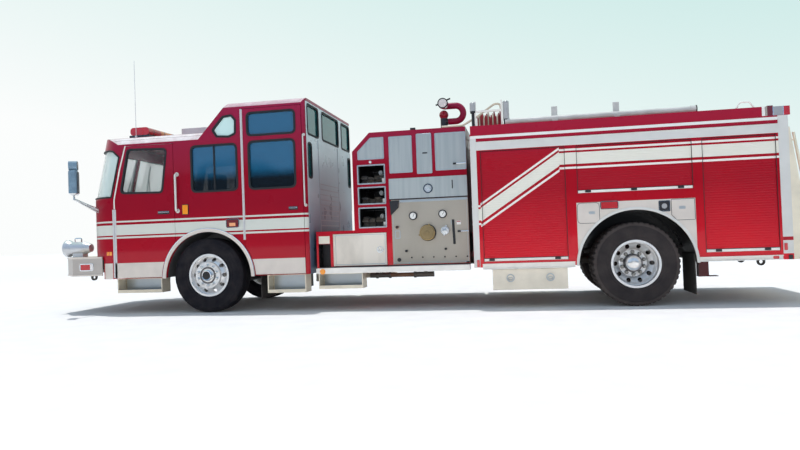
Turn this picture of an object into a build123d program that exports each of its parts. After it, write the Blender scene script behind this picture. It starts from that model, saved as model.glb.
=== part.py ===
# Fire engine: custom-cab pumper with a raised-roof crew cab. Millimetres.
# +X points to the tail, -Y to the vehicle's left side, +Z up.
# Lengths are drawn as stations from the front axle; put() then sets the whole over the origin.
from build123d import *
import os
from math import cos, sin, tan, radians, sqrt

# Overall
WHEELBASE = 5713
FRONT_OVERHANG = 2430
REAR_OVERHANG = 2270
CAB_WIDTH = 2360
BODY_WIDTH = 2400
PUMP_WIDTH = 2000

# Wheels and tyres
TYRE_R = 522
TYRE_WIDTH = 290
BEAD_R = 285.5
FLANGE_R = 298.5
RIM_WIDTH = 216
RIM_LIP = 12
RIM_WALL = 14
FRONT_TRACK = 2010
REAR_TRACK = 1730
DUAL_SPACING = 340
FRONT_OFFSET = 150
HAND_HOLES = 10
HAND_HOLE_R = 28
HAND_HOLE_PITCH_R = 222
HUB_BORE_R = 110
WHEEL_FACE_R = 184
HUB_CAP_R = 80
REAR_HUB_CAP_R = 92
SHAFT_CLEARANCE = 0.05
MOVING_GAP = 6

# Steering
KINGPIN_Y = 840
KINGPIN_R = 22
EYE_R = 46
EYE_HEIGHT = 120
EAR_HEIGHT = 45
ARM_LENGTH = 190
ARM_THICK = 25
TIE_PIN_R = 10
TIE_ROD_R = 15
TIE_EYE_HEIGHT = 36
SPINDLE_R = 40
BACKPLATE_R = 195
BACKPLATE_THICK = 14
DRUM_R = 205

# Frame
FRAME_TOP = 980
FRAME_HEIGHT = 260
FRAME_WIDTH = 864
FRAME_FLANGE = 89
FRAME_PLATE = 10
HORN_TOP = 780
HORN_HEIGHT = 160
SPRING_LEAF = 22
SPRING_WIDTH = 80

# Bumper and siren
BUMPER_PROJECTION = 500
BUMPER_BOTTOM = 556
BUMPER_TOP = 830
BUMPER_CHAMFER = 330
BUMPER_PLATE = 8
BUMPER_REAR = -1620
SIREN_R = 128
SIREN_LENGTH = 400
SIREN_Z = 965
SIREN_INSET = 330

# Cab
CAB_REAR = 1505
CAB_CORNER_R = 480
CAB_REAR_CORNER_R = 70
CAB_BOTTOM = 505
CAB_FRONT_BOTTOM = 790
BELT_Z = 1650
RAKE = 13.5
WALL = 45
LOW_ROOF_TOP = 2540
LOW_ROOF_R = 140
HIGH_ROOF_TOP = 2912
HIGH_ROOF_R = 85
SLOPE_FOOT_X = -76
SLOPE_FOOT_Z = 2426
SLOPE_RUN = 374
SLOPE_RISE = 401
ROOF_SEAM_Z = 2412
FLOOR_Z = 1000
FLOOR_THICK = 40
ARCH_DROP = 32
FRONT_ARCH_R = 640
FRONT_TRIM_R = 690
ARCH_CENTRE_X = 20
TRIM_THICK = 12
GLASS = 6
DOOR_GAP = 6
HINGE_R = 9
HINGE_STANDOFF = 10

# Pump module
STEP_FRONT = 1548
PUMP_FRONT = 2098
PUMP_REAR = 3653
PUMP_TOP = 2393
PUMP_SHOULDER_Z = 2145
PUMP_SHOULDER_X = 2345
LOW_TOP = 1072
LOW_BOTTOM = 575
PANEL_PLATE = 4
BOARD_TOP = 574
BOARD_BOTTOM = 503

# Body
BODY_GAP = 67
BODY_REAR_OVERHANG = 1772
BODY_BOTTOM = 530
BODY_TOP = 2243
BED_WALL_TOP = 2355
BAY_DEPTH = 600
BAY_WALL = 30
BED_FLOOR_Z = 1700
DOOR_HEAD_Z = 2020
SHUTTER_THICK = 20
SHUTTER_RECESS = 12
REAR_ARCH_R = 690
REAR_ARCH_SHIFT = 7
FENDER_HALF = 698
FENDER_TOP = 1306
FENDER_PLATE = 6
BOX_BOTTOM = 240
BOX_TOP = 500
BOX_WALL = 6
TAILBOARD_Z = 600

# Derived
LENGTH = FRONT_OVERHANG + WHEELBASE + REAR_OVERHANG
FRONT_AXLE_X = FRONT_OVERHANG - LENGTH / 2
HUB_Z = TYRE_R
NOSE = -FRONT_OVERHANG
CAB_FRONT = NOSE + BUMPER_PROJECTION
TAIL = WHEELBASE + REAR_OVERHANG
CAB_HALF = CAB_WIDTH / 2
BODY_HALF = BODY_WIDTH / 2
PUMP_HALF = PUMP_WIDTH / 2
FRAME_HALF = FRAME_WIDTH / 2
FRAME_BOTTOM = FRAME_TOP - FRAME_HEIGHT
FRAME_INNER = FRAME_HALF - FRAME_FLANGE
BODY_FRONT = PUMP_REAR + BODY_GAP
BODY_REAR = WHEELBASE + BODY_REAR_OVERHANG
ARCH_Z = HUB_Z - ARCH_DROP
REAR_ARCH_X = WHEELBASE + REAR_ARCH_SHIFT
BOX_FRONT = BODY_FRONT + 230
BOX_REAR = REAR_ARCH_X - 835
FRONT_WHEEL_Y = FRONT_TRACK / 2
REAR_WHEEL_Y = REAR_TRACK / 2
SLOPE = SLOPE_RUN / SLOPE_RISE

os.makedirs("parts", exist_ok=True)


def put(name, *shapes):
    """Move the solids from stations to the vehicle's own frame and write one node."""
    solids = [solid for shape in shapes for solid in shape.solids()]
    placed = Pos(FRONT_AXLE_X, 0, 0) * Compound(solids)
    export_step(placed, f"parts/{name}.step")


def block(x0, x1, y0, y1, z0, z1):
    size = Box(x1 - x0, y1 - y0, z1 - z0)
    return Pos((x0 + x1) / 2, (y0 + y1) / 2, (z0 + z1) / 2) * size


def outline(points, radius=0):
    face = make_face(Polyline(*points, close=True))
    return fillet(face.vertices(), radius) if radius else face


def panel(x0, x1, z0, z1, radius=0):
    """A rectangle in side view, between two stations and two heights."""
    return outline([(x0, z0), (x1, z0), (x1, z1), (x0, z1)], radius)


def across(face, y0, y1):
    """A side-view outline made solid between two widths."""
    return extrude(Plane.XZ.offset(-y1) * face, amount=y1 - y0)


def along(face, x0, x1):
    """A cross-section (Y, Z) made solid between two stations."""
    return extrude(Plane.YZ.offset(x0) * face, amount=x1 - x0)


def upward(face, z0, z1):
    return extrude(Plane.XY.offset(z0) * face, amount=z1 - z0)


def other(shape):
    """The same piece on the other side of the vehicle."""
    return mirror(shape, about=Plane.XZ)


def rod(start, end, radius):
    """A round bar between two points."""
    start, end = Vector(start), Vector(end)
    plane = Plane(start, z_dir=end - start)
    return plane * Cylinder(radius, (end - start).length, align=(Align.CENTER, Align.CENTER, Align.MIN))


def axle_disc(y0, y1, radius, x=0, z=HUB_Z):
    """A disc or shaft lying across the vehicle."""
    return rod((x, y0, z), (x, y1, z), radius)


def post(x, y, z0, z1, radius):
    return Pos(x, y, (z0 + z1) / 2) * Cylinder(radius, z1 - z0)


def parted(shape, stations=(), widths=()):
    """The same walls as separate panels, parted at some stations and widths."""
    reach = 9000
    pieces = []
    for x0, x1 in zip([-reach, *stations], [*stations, reach]):
        for y0, y1 in zip([-reach, *widths], [*widths, reach]):
            pieces += (shape & block(x0, x1, y0, y1, -reach, reach)).solids()
    return pieces


# Chassis frame: two channel rails, front horns, crossmembers and spring hangers
CROSSMEMBERS = [
    -1500, 1150, 2600, BODY_FRONT + 480, WHEELBASE - 713, WHEELBASE + 637, WHEELBASE + 1687,
]
FRONT_SPRING_HALF = 650
REAR_SPRING_HALF = 700
FRONT_SPRING_END_Z = 650
REAR_SPRING_END_Z = 705
RAIL_FRONT = -1750
RAIL_REAR = BODY_REAR - 50
TOW_EYE_R = 24
TOW_EYE_THICK = 25
TOW_EYE_Y = FRAME_HALF - 25
TOW_PLATE_HALF = 50
# Tow eyes, columns: station, height of the eye, top of its plate
TOW_EYES = [
    (NOSE + 120, 500, HORN_TOP - HORN_HEIGHT + 5),
    (RAIL_REAR - 60, 470, FRAME_BOTTOM + 5),
]


def frame_rail():
    rail = block(RAIL_FRONT, RAIL_REAR, FRAME_INNER, FRAME_HALF, FRAME_BOTTOM, FRAME_TOP)
    pocket = block(
        RAIL_FRONT - 1, RAIL_REAR + 1, FRAME_INNER - 1, FRAME_HALF - FRAME_PLATE,
        FRAME_BOTTOM + FRAME_PLATE, FRAME_TOP - FRAME_PLATE,
    )
    horn = block(
        NOSE + BUMPER_PLATE, RAIL_FRONT + 150, FRAME_INNER, FRAME_HALF, HORN_TOP - HORN_HEIGHT, HORN_TOP
    )
    return rail - pocket + horn


def chassis_frame():
    """Two rails with their horns, hangers and tow eyes, and the crossmembers between their webs."""
    rail = frame_rail()
    hangers = [
        (-FRONT_SPRING_HALF, FRONT_SPRING_END_Z),
        (FRONT_SPRING_HALF, FRONT_SPRING_END_Z),
        (WHEELBASE - REAR_SPRING_HALF, REAR_SPRING_END_Z),
        (WHEELBASE + REAR_SPRING_HALF, REAR_SPRING_END_Z),
    ]
    for station, z in hangers:
        rail += block(station - 35, station + 35, FRAME_INNER, FRAME_HALF, z, FRAME_BOTTOM + 5)
    y0, y1 = TOW_EYE_Y - TOW_EYE_THICK / 2, TOW_EYE_Y + TOW_EYE_THICK / 2
    for station, z, top in TOW_EYES:
        plate = block(station - TOW_PLATE_HALF, station + TOW_PLATE_HALF, y0, y1, z, top)
        plate += axle_disc(y0, y1, TOW_PLATE_HALF, x=station, z=z)
        plate -= axle_disc(y0 - 9, y1 + 9, TOW_EYE_R, x=station, z=z)
        rail += plate
    web = FRAME_HALF - FRAME_PLATE
    members = [block(station - 40, station + 40, -web, web, 790, 940) for station in CROSSMEMBERS]
    return [rail, other(rail), *members]


# Leaf springs: stepped leaves on one arc, hung under the rails
SPRING_MID_Y = FRAME_HALF - FRAME_FLANGE / 2


def leaf_spring(centre, half, seat_z, end_z, leaves):
    """Leaves from a short table: share of the half length. The top leaf ends under its hangers."""
    shape = None
    for index, share in enumerate(leaves):
        drop = SPRING_LEAF * index
        top = ThreePointArc((-half, end_z - drop), (0, seat_z - drop), (half, end_z - drop))
        low = ThreePointArc(
            (half, end_z - drop - SPRING_LEAF), (0, seat_z - drop - SPRING_LEAF),
            (-half, end_z - drop - SPRING_LEAF),
        )
        face = make_face([top, Line(top @ 1, low @ 0), low, Line(low @ 1, top @ 0)])
        leaf = across(face, SPRING_MID_Y - SPRING_WIDTH / 2, SPRING_MID_Y + SPRING_WIDTH / 2)
        reach = half * share
        leaf &= block(-reach, reach, 0, FRAME_HALF, 0, FRAME_TOP)
        shape = leaf if shape is None else shape + leaf
    return Pos(centre, 0, 0) * shape


FRONT_LEAVES = [1.0, 0.72, 0.42]
REAR_LEAVES = [1.0, 0.78, 0.55, 0.34]
FRONT_SEAT_Z = HUB_Z + 8
REAR_AXLE_R = 70
REAR_SEAT_Z = HUB_Z + REAR_AXLE_R + SPRING_LEAF * len(REAR_LEAVES)


# Front axle: a dropped I-beam with an eye for each kingpin
BEAM_TOP = FRONT_SEAT_Z - SPRING_LEAF * len(FRONT_LEAVES)
BEAM_HEIGHT = 84
BEAM_HALF = 50
BEAM_FLAT = 560


def front_axle():
    low = BEAM_TOP - BEAM_HEIGHT
    eye_low = HUB_Z - EYE_HEIGHT / 2
    eye_top = eye_low + EYE_HEIGHT
    neck = KINGPIN_Y - EYE_R - 14
    half = [
        (0, low), (BEAM_FLAT, low), (neck, eye_low), (KINGPIN_Y, eye_low), (KINGPIN_Y, eye_top),
        (neck, eye_top), (BEAM_FLAT + 20, BEAM_TOP), (0, BEAM_TOP),
    ]
    beam = along(outline(half), -BEAM_HALF, BEAM_HALF)
    web = along(offset(outline(half), amount=-16), 12, BEAM_HALF + 1)
    beam -= web & block(0, BEAM_HALF + 1, 0, KINGPIN_Y - 120, 0, BEAM_TOP)
    beam -= (Pos(-BEAM_HALF - 13, 0, 0) * web) & block(-BEAM_HALF - 1, 0, 0, KINGPIN_Y - 120, 0, BEAM_TOP)
    eye = post(0, KINGPIN_Y, eye_low, eye_top, EYE_R)
    beam -= block(-BEAM_HALF - 1, BEAM_HALF + 1, KINGPIN_Y - EYE_R * 0.7, KINGPIN_Y + 1, low, eye_top + 1)
    beam = beam + eye - post(0, KINGPIN_Y, eye_low - 1, eye_top + 1, KINGPIN_R + SHAFT_CLEARANCE)
    return beam + other(beam)


# Knuckle: ears above and below the eye, kingpin, brake plate, spindle and steering arm
EAR_GAP = 5
PLATE_INNER_Y = KINGPIN_Y + EYE_R + 12
DRUM_INNER_Y = PLATE_INNER_Y + BACKPLATE_THICK + 7
SPINDLE_END_Y = FRONT_WHEEL_Y + 95
ARM_Z = HUB_Z - EYE_HEIGHT / 2 - EAR_GAP - EAR_HEIGHT
TIE_EYE_R = 25
TIE_Y = KINGPIN_Y


def knuckle():
    eye_low = HUB_Z - EYE_HEIGHT / 2
    eye_top = eye_low + EYE_HEIGHT
    lower = (ARM_Z, eye_low - EAR_GAP)
    upper = (eye_top + EAR_GAP, eye_top + EAR_GAP + EAR_HEIGHT)
    shape = post(0, KINGPIN_Y, lower[0], upper[1], KINGPIN_R)
    for z0, z1 in (lower, upper):
        shape += post(0, KINGPIN_Y, z0, z1, EYE_R)
        shape += block(-EYE_R, EYE_R, KINGPIN_Y, PLATE_INNER_Y + 1, z0, z1)
    shape += axle_disc(PLATE_INNER_Y, PLATE_INNER_Y + BACKPLATE_THICK, BACKPLATE_R)
    shape += axle_disc(PLATE_INNER_Y, SPINDLE_END_Y, SPINDLE_R)
    arm = outline([
        (0, KINGPIN_Y + 30), (0, KINGPIN_Y - 30), (ARM_LENGTH, TIE_Y - 18), (ARM_LENGTH, TIE_Y + 18),
    ])
    shape += upward(arm, ARM_Z, ARM_Z + ARM_THICK)
    shape += post(ARM_LENGTH, TIE_Y, ARM_Z, ARM_Z + ARM_THICK, TIE_EYE_R)
    return shape - post(ARM_LENGTH, TIE_Y, ARM_Z - 1, ARM_Z + ARM_THICK + 1, TIE_PIN_R + SHAFT_CLEARANCE)


def tie_rod():
    """Ball joints drawn as pins, with a tube between their eyes under the steering arms."""
    top = ARM_Z - EAR_GAP
    low = top - TIE_EYE_HEIGHT
    shape = rod((ARM_LENGTH, -TIE_Y, (top + low) / 2), (ARM_LENGTH, TIE_Y, (top + low) / 2), TIE_ROD_R)
    for y in (-TIE_Y, TIE_Y):
        shape += post(ARM_LENGTH, y, low, top, TIE_EYE_R)
        shape += post(ARM_LENGTH, y, low, ARM_Z + ARM_THICK + EAR_GAP, TIE_PIN_R)
    return shape


# Wheels, drawn as profiles of radius and distance outboard of the tyre's middle plane
SHOULDER = 18


def spun(points, y):
    """A closed profile turned about the wheel's own axis, for the right-hand side."""
    return Pos(0, y, HUB_Z) * revolve(outline(points), Axis.Y)


def tyre(y):
    half_bead = RIM_WIDTH / 2
    half = TYRE_WIDTH / 2
    tread = half - 25
    side = ThreePointArc((FLANGE_R + 4, half_bead), (FLANGE_R + 110, half), (TYRE_R - SHOULDER, tread + 8))
    far = ThreePointArc((TYRE_R - SHOULDER, -tread - 8), (FLANGE_R + 110, -half), (FLANGE_R + 4, -half_bead))
    crown = Polyline(
        side @ 1, (TYRE_R, tread - 8), (TYRE_R, -tread + 8), far @ 0,
    )
    bead = Polyline(far @ 1, (BEAD_R, -half_bead), (BEAD_R, half_bead), side @ 0)
    face = make_face([side, crown, far, bead])
    return Pos(0, y, HUB_Z) * revolve(face, Axis.Y)


def rim(y, mount, facing):
    """Drop-centre barrel with a dished disc. mount is the mounting face's offset, facing its side."""
    half = RIM_WIDTH / 2
    inner = BEAD_R - RIM_WALL
    barrel = [
        (BEAD_R, -half), (FLANGE_R, -half), (FLANGE_R, -half - RIM_LIP), (inner, -half - RIM_LIP),
        (inner, half + RIM_LIP), (FLANGE_R, half + RIM_LIP), (FLANGE_R, half), (BEAD_R, half),
    ]
    flat = mount - RIM_WALL
    disc = [
        (BEAD_R - 4, 20), (BEAD_R - 4, 62), (256, mount - 88), (190, mount - 34), (WHEEL_FACE_R, mount),
        (HUB_BORE_R, mount), (HUB_BORE_R, flat), (WHEEL_FACE_R - 12, flat), (WHEEL_FACE_R - 1, flat - 38),
        (240, flat - 86), (inner - 6, 40), (inner - 6, 20),
    ]
    turned = [(r, w * facing) for r, w in disc]
    shape = spun(barrel, y) + spun(turned, y)
    hole = axle_disc(y - 200, y + 200, HAND_HOLE_R, x=HAND_HOLE_PITCH_R)
    for index in range(HAND_HOLES):
        axis = Axis((0, 0, HUB_Z), (0, 1, 0))
        shape -= hole.rotate(axis, 360 / HAND_HOLES * index)
    return shape


def bored(shape, y0, y1, radius):
    return shape - axle_disc(y0 - 1, y1, radius + SHAFT_CLEARANCE)


def domed_cap(y, radius, height):
    """Hub cap with a straight skirt and a domed face, standing out from y."""
    dome = ThreePointArc((radius, height * 0.4), (radius * 0.7, height * 0.8), (radius * 0.25, height))
    walls = Polyline(dome @ 1, (0, height), (0, 0), (radius, 0), dome @ 0)
    return Pos(0, y, HUB_Z) * revolve(make_face([dome, walls]), Axis.Y)


def front_rim():
    """Steer wheel: disc dished outwards, with hub, hub cap and brake drum."""
    face = FRONT_WHEEL_Y + FRONT_OFFSET
    shape = rim(FRONT_WHEEL_Y, FRONT_OFFSET, 1)
    hub = axle_disc(DRUM_INNER_Y, face - RIM_WALL, DRUM_R - 55)
    drum = axle_disc(DRUM_INNER_Y, face - RIM_WALL - 75, DRUM_R)
    cap = axle_disc(face - RIM_WALL, face + 4, HUB_BORE_R) + domed_cap(face + 3, HUB_CAP_R, 42)
    bore_end = SPINDLE_END_Y + 5
    return bored(shape + hub + drum + cap, DRUM_INNER_Y, bore_end, SPINDLE_R)


REAR_OFFSET = DUAL_SPACING / 2
REAR_DRUM_Y = REAR_WHEEL_Y - 265
REAR_SPINDLE_R = 60


def rear_rims():
    """Twin wheels bolted face to face on one hub, the outer one dished inwards."""
    outer = rim(REAR_WHEEL_Y + REAR_OFFSET, REAR_OFFSET, -1)
    inner = rim(REAR_WHEEL_Y - REAR_OFFSET, REAR_OFFSET, 1)
    drum = axle_disc(REAR_DRUM_Y, REAR_WHEEL_Y - RIM_WALL - 75, DRUM_R)
    hub = axle_disc(REAR_DRUM_Y, REAR_WHEEL_Y + 95, HUB_BORE_R)
    hub += axle_disc(REAR_WHEEL_Y - RIM_WALL - 10, REAR_WHEEL_Y - RIM_WALL, WHEEL_FACE_R - 14)
    hub += domed_cap(REAR_WHEEL_Y + 94, REAR_HUB_CAP_R, 40)
    shape = outer + inner + drum + hub
    shape = bored(shape, REAR_DRUM_Y, REAR_WHEEL_Y + 5, REAR_SPINDLE_R)
    return Pos(WHEELBASE, 0, 0) * shape


def rear_axle():
    """Drive axle: banjo housing, tubes, brake plates, spindles and the propeller shaft."""
    shape = axle_disc(-REAR_WHEEL_Y, REAR_WHEEL_Y, REAR_SPINDLE_R)
    shape += axle_disc(-REAR_DRUM_Y + 10, REAR_DRUM_Y - 10, REAR_AXLE_R)
    for y in (-REAR_DRUM_Y + 10, REAR_DRUM_Y - 10 - BACKPLATE_THICK):
        shape += axle_disc(y, y + BACKPLATE_THICK, BACKPLATE_R)
    shape += Pos(0, 0, HUB_Z) * Sphere(185)
    for y in (-SPRING_MID_Y, SPRING_MID_Y):
        shape += block(-60, 60, y - SPRING_WIDTH / 2, y + SPRING_WIDTH / 2, HUB_Z, HUB_Z + REAR_AXLE_R)
    shape += rod((-120, 0, HUB_Z), (-330, 0, HUB_Z + 20), 80)
    shape = Pos(WHEELBASE, 0, 0) * shape
    return shape + rod((GEARBOX_REAR + 3, 0, 640), (WHEELBASE - 320, 0, HUB_Z + 20), 52)


# Engine with its gearbox, one plain block
ENGINE_FRONT = -1150
ENGINE_REAR = 300
ENGINE_TOP = 1400
ENGINE_BOTTOM = 560
GEARBOX_REAR = 950


def engine_block():
    engine = block(ENGINE_FRONT, ENGINE_REAR, -300, 300, ENGINE_BOTTOM, ENGINE_TOP)
    return engine + block(ENGINE_REAR, GEARBOX_REAR, -220, 220, ENGINE_BOTTOM, 930)


def fuel_tank():
    x0, x1 = WHEELBASE + 767, WHEELBASE + 1587
    tank = block(x0, x1, -FRAME_INNER + 10, FRAME_INNER - 10, 520, 900)
    return fillet(tank.edges().filter_by(Axis.Y), 60)


# Front bumper: a wrap-round plate with splayed corners and a deck, notched round the cab
def bumper_plan(inset):
    half = CAB_HALF - inset
    return outline([
        (BUMPER_REAR, -half), (NOSE + BUMPER_CHAMFER, -half), (NOSE + inset, -half + BUMPER_CHAMFER),
        (NOSE + inset, half - BUMPER_CHAMFER), (NOSE + BUMPER_CHAMFER, half), (BUMPER_REAR, half),
    ])


def front_bumper():
    shape = upward(bumper_plan(0), BUMPER_BOTTOM, BUMPER_TOP)
    shape -= upward(bumper_plan(BUMPER_PLATE), BUMPER_BOTTOM - 1, BUMPER_TOP - BUMPER_PLATE)
    gap = 12
    notch = cab_plan(CAB_FRONT - gap, CAB_REAR, CAB_HALF + gap, CAB_CORNER_R + gap)
    return shape - upward(notch, CAB_FRONT_BOTTOM - gap, BUMPER_TOP + 1)


def siren():
    """Turned bell and body on a foot, pointing forward on the bumper deck."""
    profile = [
        (0, 0), (SIREN_R, 0), (SIREN_R, 30), (SIREN_R - 28, 95), (SIREN_R - 34, 300),
        (60, SIREN_LENGTH), (0, SIREN_LENGTH),
    ]
    body = revolve(outline([(x, r) for r, x in profile]), Axis.X)
    y = -(CAB_HALF - SIREN_INSET)
    body = Pos(NOSE + 4, y, SIREN_Z) * body
    return body + block(NOSE + 130, NOSE + 300, y - 60, y + 60, BUMPER_TOP, SIREN_Z - 60)


# Cab: plan with big front corners, raked above the belt, under a low roof and a raised crew roof
def cab_plan(front, rear, half, corner):
    face = outline([(front, -half), (rear, -half), (rear, half), (front, half)])
    return fillet(face.vertices().sort_by(Axis.X)[:2], corner)


def roof_section(half, top, radius, bottom):
    face = outline([(-half, bottom), (half, bottom), (half, top), (-half, top)])
    return fillet(face.vertices().sort_by(Axis.Y)[2:], radius)


def cab_volume(inset, bottom):
    half = CAB_HALF - inset
    front = CAB_FRONT + inset
    rear = CAB_REAR - inset
    plan = cab_plan(front, rear, half, CAB_CORNER_R - inset)
    lower = upward(plan, bottom, BELT_Z)
    rise = LOW_ROOF_TOP - inset - BELT_Z
    lean = radians(RAKE)
    upper = extrude(Plane.XY.offset(BELT_Z) * plan, amount=rise / cos(lean), dir=(tan(lean), 0, 1))
    low_roof = roof_section(half, LOW_ROOF_TOP - inset, LOW_ROOF_R - inset, bottom)
    nose = (lower + upper) & along(low_roof, front - 1, rear)
    shift = inset * sqrt(1 + SLOPE * SLOPE)
    foot = SLOPE_FOOT_X + shift
    base = BELT_Z + 200
    top = HIGH_ROOF_TOP - inset
    raised_side = outline([
        (foot + (base - SLOPE_FOOT_Z) * SLOPE, base), (rear, base), (rear, top),
        (foot + (top - SLOPE_FOOT_Z) * SLOPE, top),
    ])
    high_roof = roof_section(half, top, HIGH_ROOF_R - inset, base)
    raised = across(raised_side, -half, half) & along(high_roof, front, rear)
    rear_plan = outline([(front - 9, -half), (rear, -half), (rear, half), (front - 9, half)])
    rear_plan = fillet(rear_plan.vertices().sort_by(Axis.X)[2:], CAB_REAR_CORNER_R - inset)
    return (nose + raised) & upward(rear_plan, bottom, HIGH_ROOF_TOP)


DOOR_FRONT_X = -1420
DOOR_REAR_X = -460
CREW_HINGE_X = 575
CREW_REAR_X = 1450
DOOR_BOTTOM = 510
CREW_TOP = HIGH_ROOF_TOP - HIGH_ROOF_R - 12
FRONT_DOOR_TOP = LOW_ROOF_TOP - LOW_ROOF_R


def arch_disc(radius):
    return Pos(ARCH_CENTRE_X, ARCH_Z) * Circle(radius)


def front_door_outline():
    face = outline([
        (DOOR_FRONT_X, DOOR_BOTTOM), (DOOR_FRONT_X, 1641), (-1321, 2067), (-1223, FRONT_DOOR_TOP),
        (DOOR_REAR_X, FRONT_DOOR_TOP), (DOOR_REAR_X, DOOR_BOTTOM),
    ])
    return face - arch_disc(FRONT_TRIM_R + 6)


def crew_door_outline():
    face = panel(CREW_HINGE_X, CREW_REAR_X, DOOR_BOTTOM, CREW_TOP)
    return face - arch_disc(FRONT_TRIM_R + 6)


def front_window():
    return outline([(-1292, 1735), (-651, 1719), (-569, 2323), (-1162, 2345)], 55)


def crew_windows():
    return [panel(680, 1335, 1700, 2344, 70), panel(668, 1348, 2440, 2742, 60)]


def centre_windows():
    notch = [(154, 2544), (309, 2715), (430, 2729), (486, 2661), (479, 2481), (389, 2445), (211, 2457)]
    return [panel(-180, 490, 1700, 2330, 70), outline(notch, 28)]


# Rear wall windows: inner edge, outer edge (from the middle line), bottom, top
REAR_WINDOWS = [(610, 1085, 2430, 2830), (950, 1090, 1830, 2295)]
REAR_MIDDLE_WINDOW = (420, 2430, 2830)


def rear_windows():
    half, z0, z1 = REAR_MIDDLE_WINDOW
    faces = [outline([(-half, z0), (half, z0), (half, z1), (-half, z1)], 55)]
    for y0, y1, z0, z1 in REAR_WINDOWS:
        for side in (-1, 1):
            corners = [(side * y0, z0), (side * y1, z0), (side * y1, z1), (side * y0, z1)]
            faces.append(outline(corners, 50))
    return faces


SCREEN_BAR = 20


def screen_cut():
    """Wrap-round windscreen opening in side view, in two halves with a centre bar."""
    ahead = CAB_FRONT - 60
    side_view = outline([
        (ahead, 1680), (-1449, 1680), (-1306, 2250), (-1425, 2355), (ahead, 2355),
    ])
    cut = across(side_view, SCREEN_BAR, CAB_HALF + 5)
    return cut + other(cut)


def cab_walls():
    shell = cab_volume(0, CAB_BOTTOM) - cab_volume(WALL, CAB_BOTTOM - 5)
    shell -= block(
        CAB_FRONT - 5, BUMPER_REAR + 10, -CAB_HALF - 5, CAB_HALF + 5, CAB_BOTTOM - 5, CAB_FRONT_BOTTOM
    )
    shell -= screen_cut()
    reach = (CAB_HALF - WALL - 30, CAB_HALF + 30)
    side = across(front_door_outline(), *reach) + across(crew_door_outline(), *reach)
    side += across(arch_disc(FRONT_ARCH_R), *reach)
    for face in centre_windows():
        side += across(face, *reach)
    shell -= side
    shell -= other(side)
    for face in rear_windows():
        shell -= along(face, CAB_REAR - WALL - 10, CAB_REAR + 10)
    shell -= block(
        CAB_FRONT - 5, CAB_FRONT + WALL + 5, -GRILLE_HALF, GRILLE_HALF, GRILLE_BOTTOM, GRILLE_TOP
    )
    shell -= block(
        CAB_REAR - WALL - 9, CAB_REAR + 9, -CAB_REAR_NOTCH, CAB_REAR_NOTCH, CAB_BOTTOM - 9, FLOOR_Z
    )
    return shell


CAB_REAR_NOTCH = 700
GRILLE_HALF = 430
GRILLE_BOTTOM = 930
GRILLE_TOP = 1480
GRILLE_BARS = 11


def grille():
    """Frame with level bars, set in the cab's front."""
    front, back = CAB_FRONT - 10, CAB_FRONT + WALL
    rim_size = 28
    shape = block(front, back, -GRILLE_HALF, GRILLE_HALF, GRILLE_BOTTOM, GRILLE_TOP)
    shape -= block(
        front - 1, back + 1, -GRILLE_HALF + rim_size, GRILLE_HALF - rim_size,
        GRILLE_BOTTOM + rim_size, GRILLE_TOP - rim_size,
    )
    pitch = (GRILLE_TOP - GRILLE_BOTTOM - rim_size) / (GRILLE_BARS + 1)
    for index in range(1, GRILLE_BARS + 1):
        z = GRILLE_BOTTOM + rim_size / 2 + pitch * index
        shape += block(front + 6, back - 6, -GRILLE_HALF + 5, GRILLE_HALF - 5, z - 7, z + 7)
    return shape


def cab_glass():
    """Windscreen halves cut from a thin inner skin of the cab, and the fixed side and rear panes."""
    skin = cab_volume(14, CAB_BOTTOM) - cab_volume(14 + GLASS + 2, CAB_BOTTOM - 5)
    panes = skin & screen_cut()
    pane_y = CAB_HALF - WALL / 2
    for face in centre_windows():
        pane = across(face, pane_y, pane_y + GLASS)
        panes += pane
        panes += other(pane)
    pane_x = CAB_REAR - WALL / 2
    for face in rear_windows():
        panes += along(face, pane_x, pane_x + GLASS)
    return panes


# Doors: a thick panel with its window cut, and a piano hinge down the front edge
HINGE_BOTTOM = 520


def door_panel(face, windows, hinge_x, hinge_bottom, hinge_top, leaf_width):
    skin = across(offset(face, amount=-DOOR_GAP), CAB_HALF - WALL, CAB_HALF)
    for window in windows:
        skin -= across(window, CAB_HALF - WALL - 5, CAB_HALF + 5)
    pin_y = CAB_HALF + HINGE_STANDOFF
    leaf = block(hinge_x, hinge_x + leaf_width, CAB_HALF, CAB_HALF + 3, hinge_bottom, hinge_top)
    leaf &= across(offset(face, amount=-DOOR_GAP), CAB_HALF - 1, CAB_HALF + 9)
    wrap = block(hinge_x, hinge_x + 12, CAB_HALF + 1, pin_y + 3, hinge_bottom, hinge_top)
    wrap &= across(offset(face, amount=-DOOR_GAP), CAB_HALF - 1, CAB_HALF + 19)
    return skin + leaf + wrap + post(hinge_x, pin_y, hinge_bottom, hinge_top, HINGE_R)


def door_glass(windows):
    pane_y = CAB_HALF - WALL / 2
    panes = [across(window, pane_y, pane_y + GLASS) for window in windows]
    return Compound(panes)


# Cab floor with engine tunnel and front wheel housings
HOUSING_R = FRONT_ARCH_R + 16
HOUSING_THICK = 10
HOUSING_INNER_Y = 530
TUNNEL_HALF = 360
TUNNEL_TOP = 1500
WELL_INNER_Y = 800
WELL_Z = 640
WELL_LINING = 10
FRONT_WELL_REAR = -720
CREW_WELL_FRONT = 760
# From a well's lining to the seam between the floor panels
SEAM_GAP = 30


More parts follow.
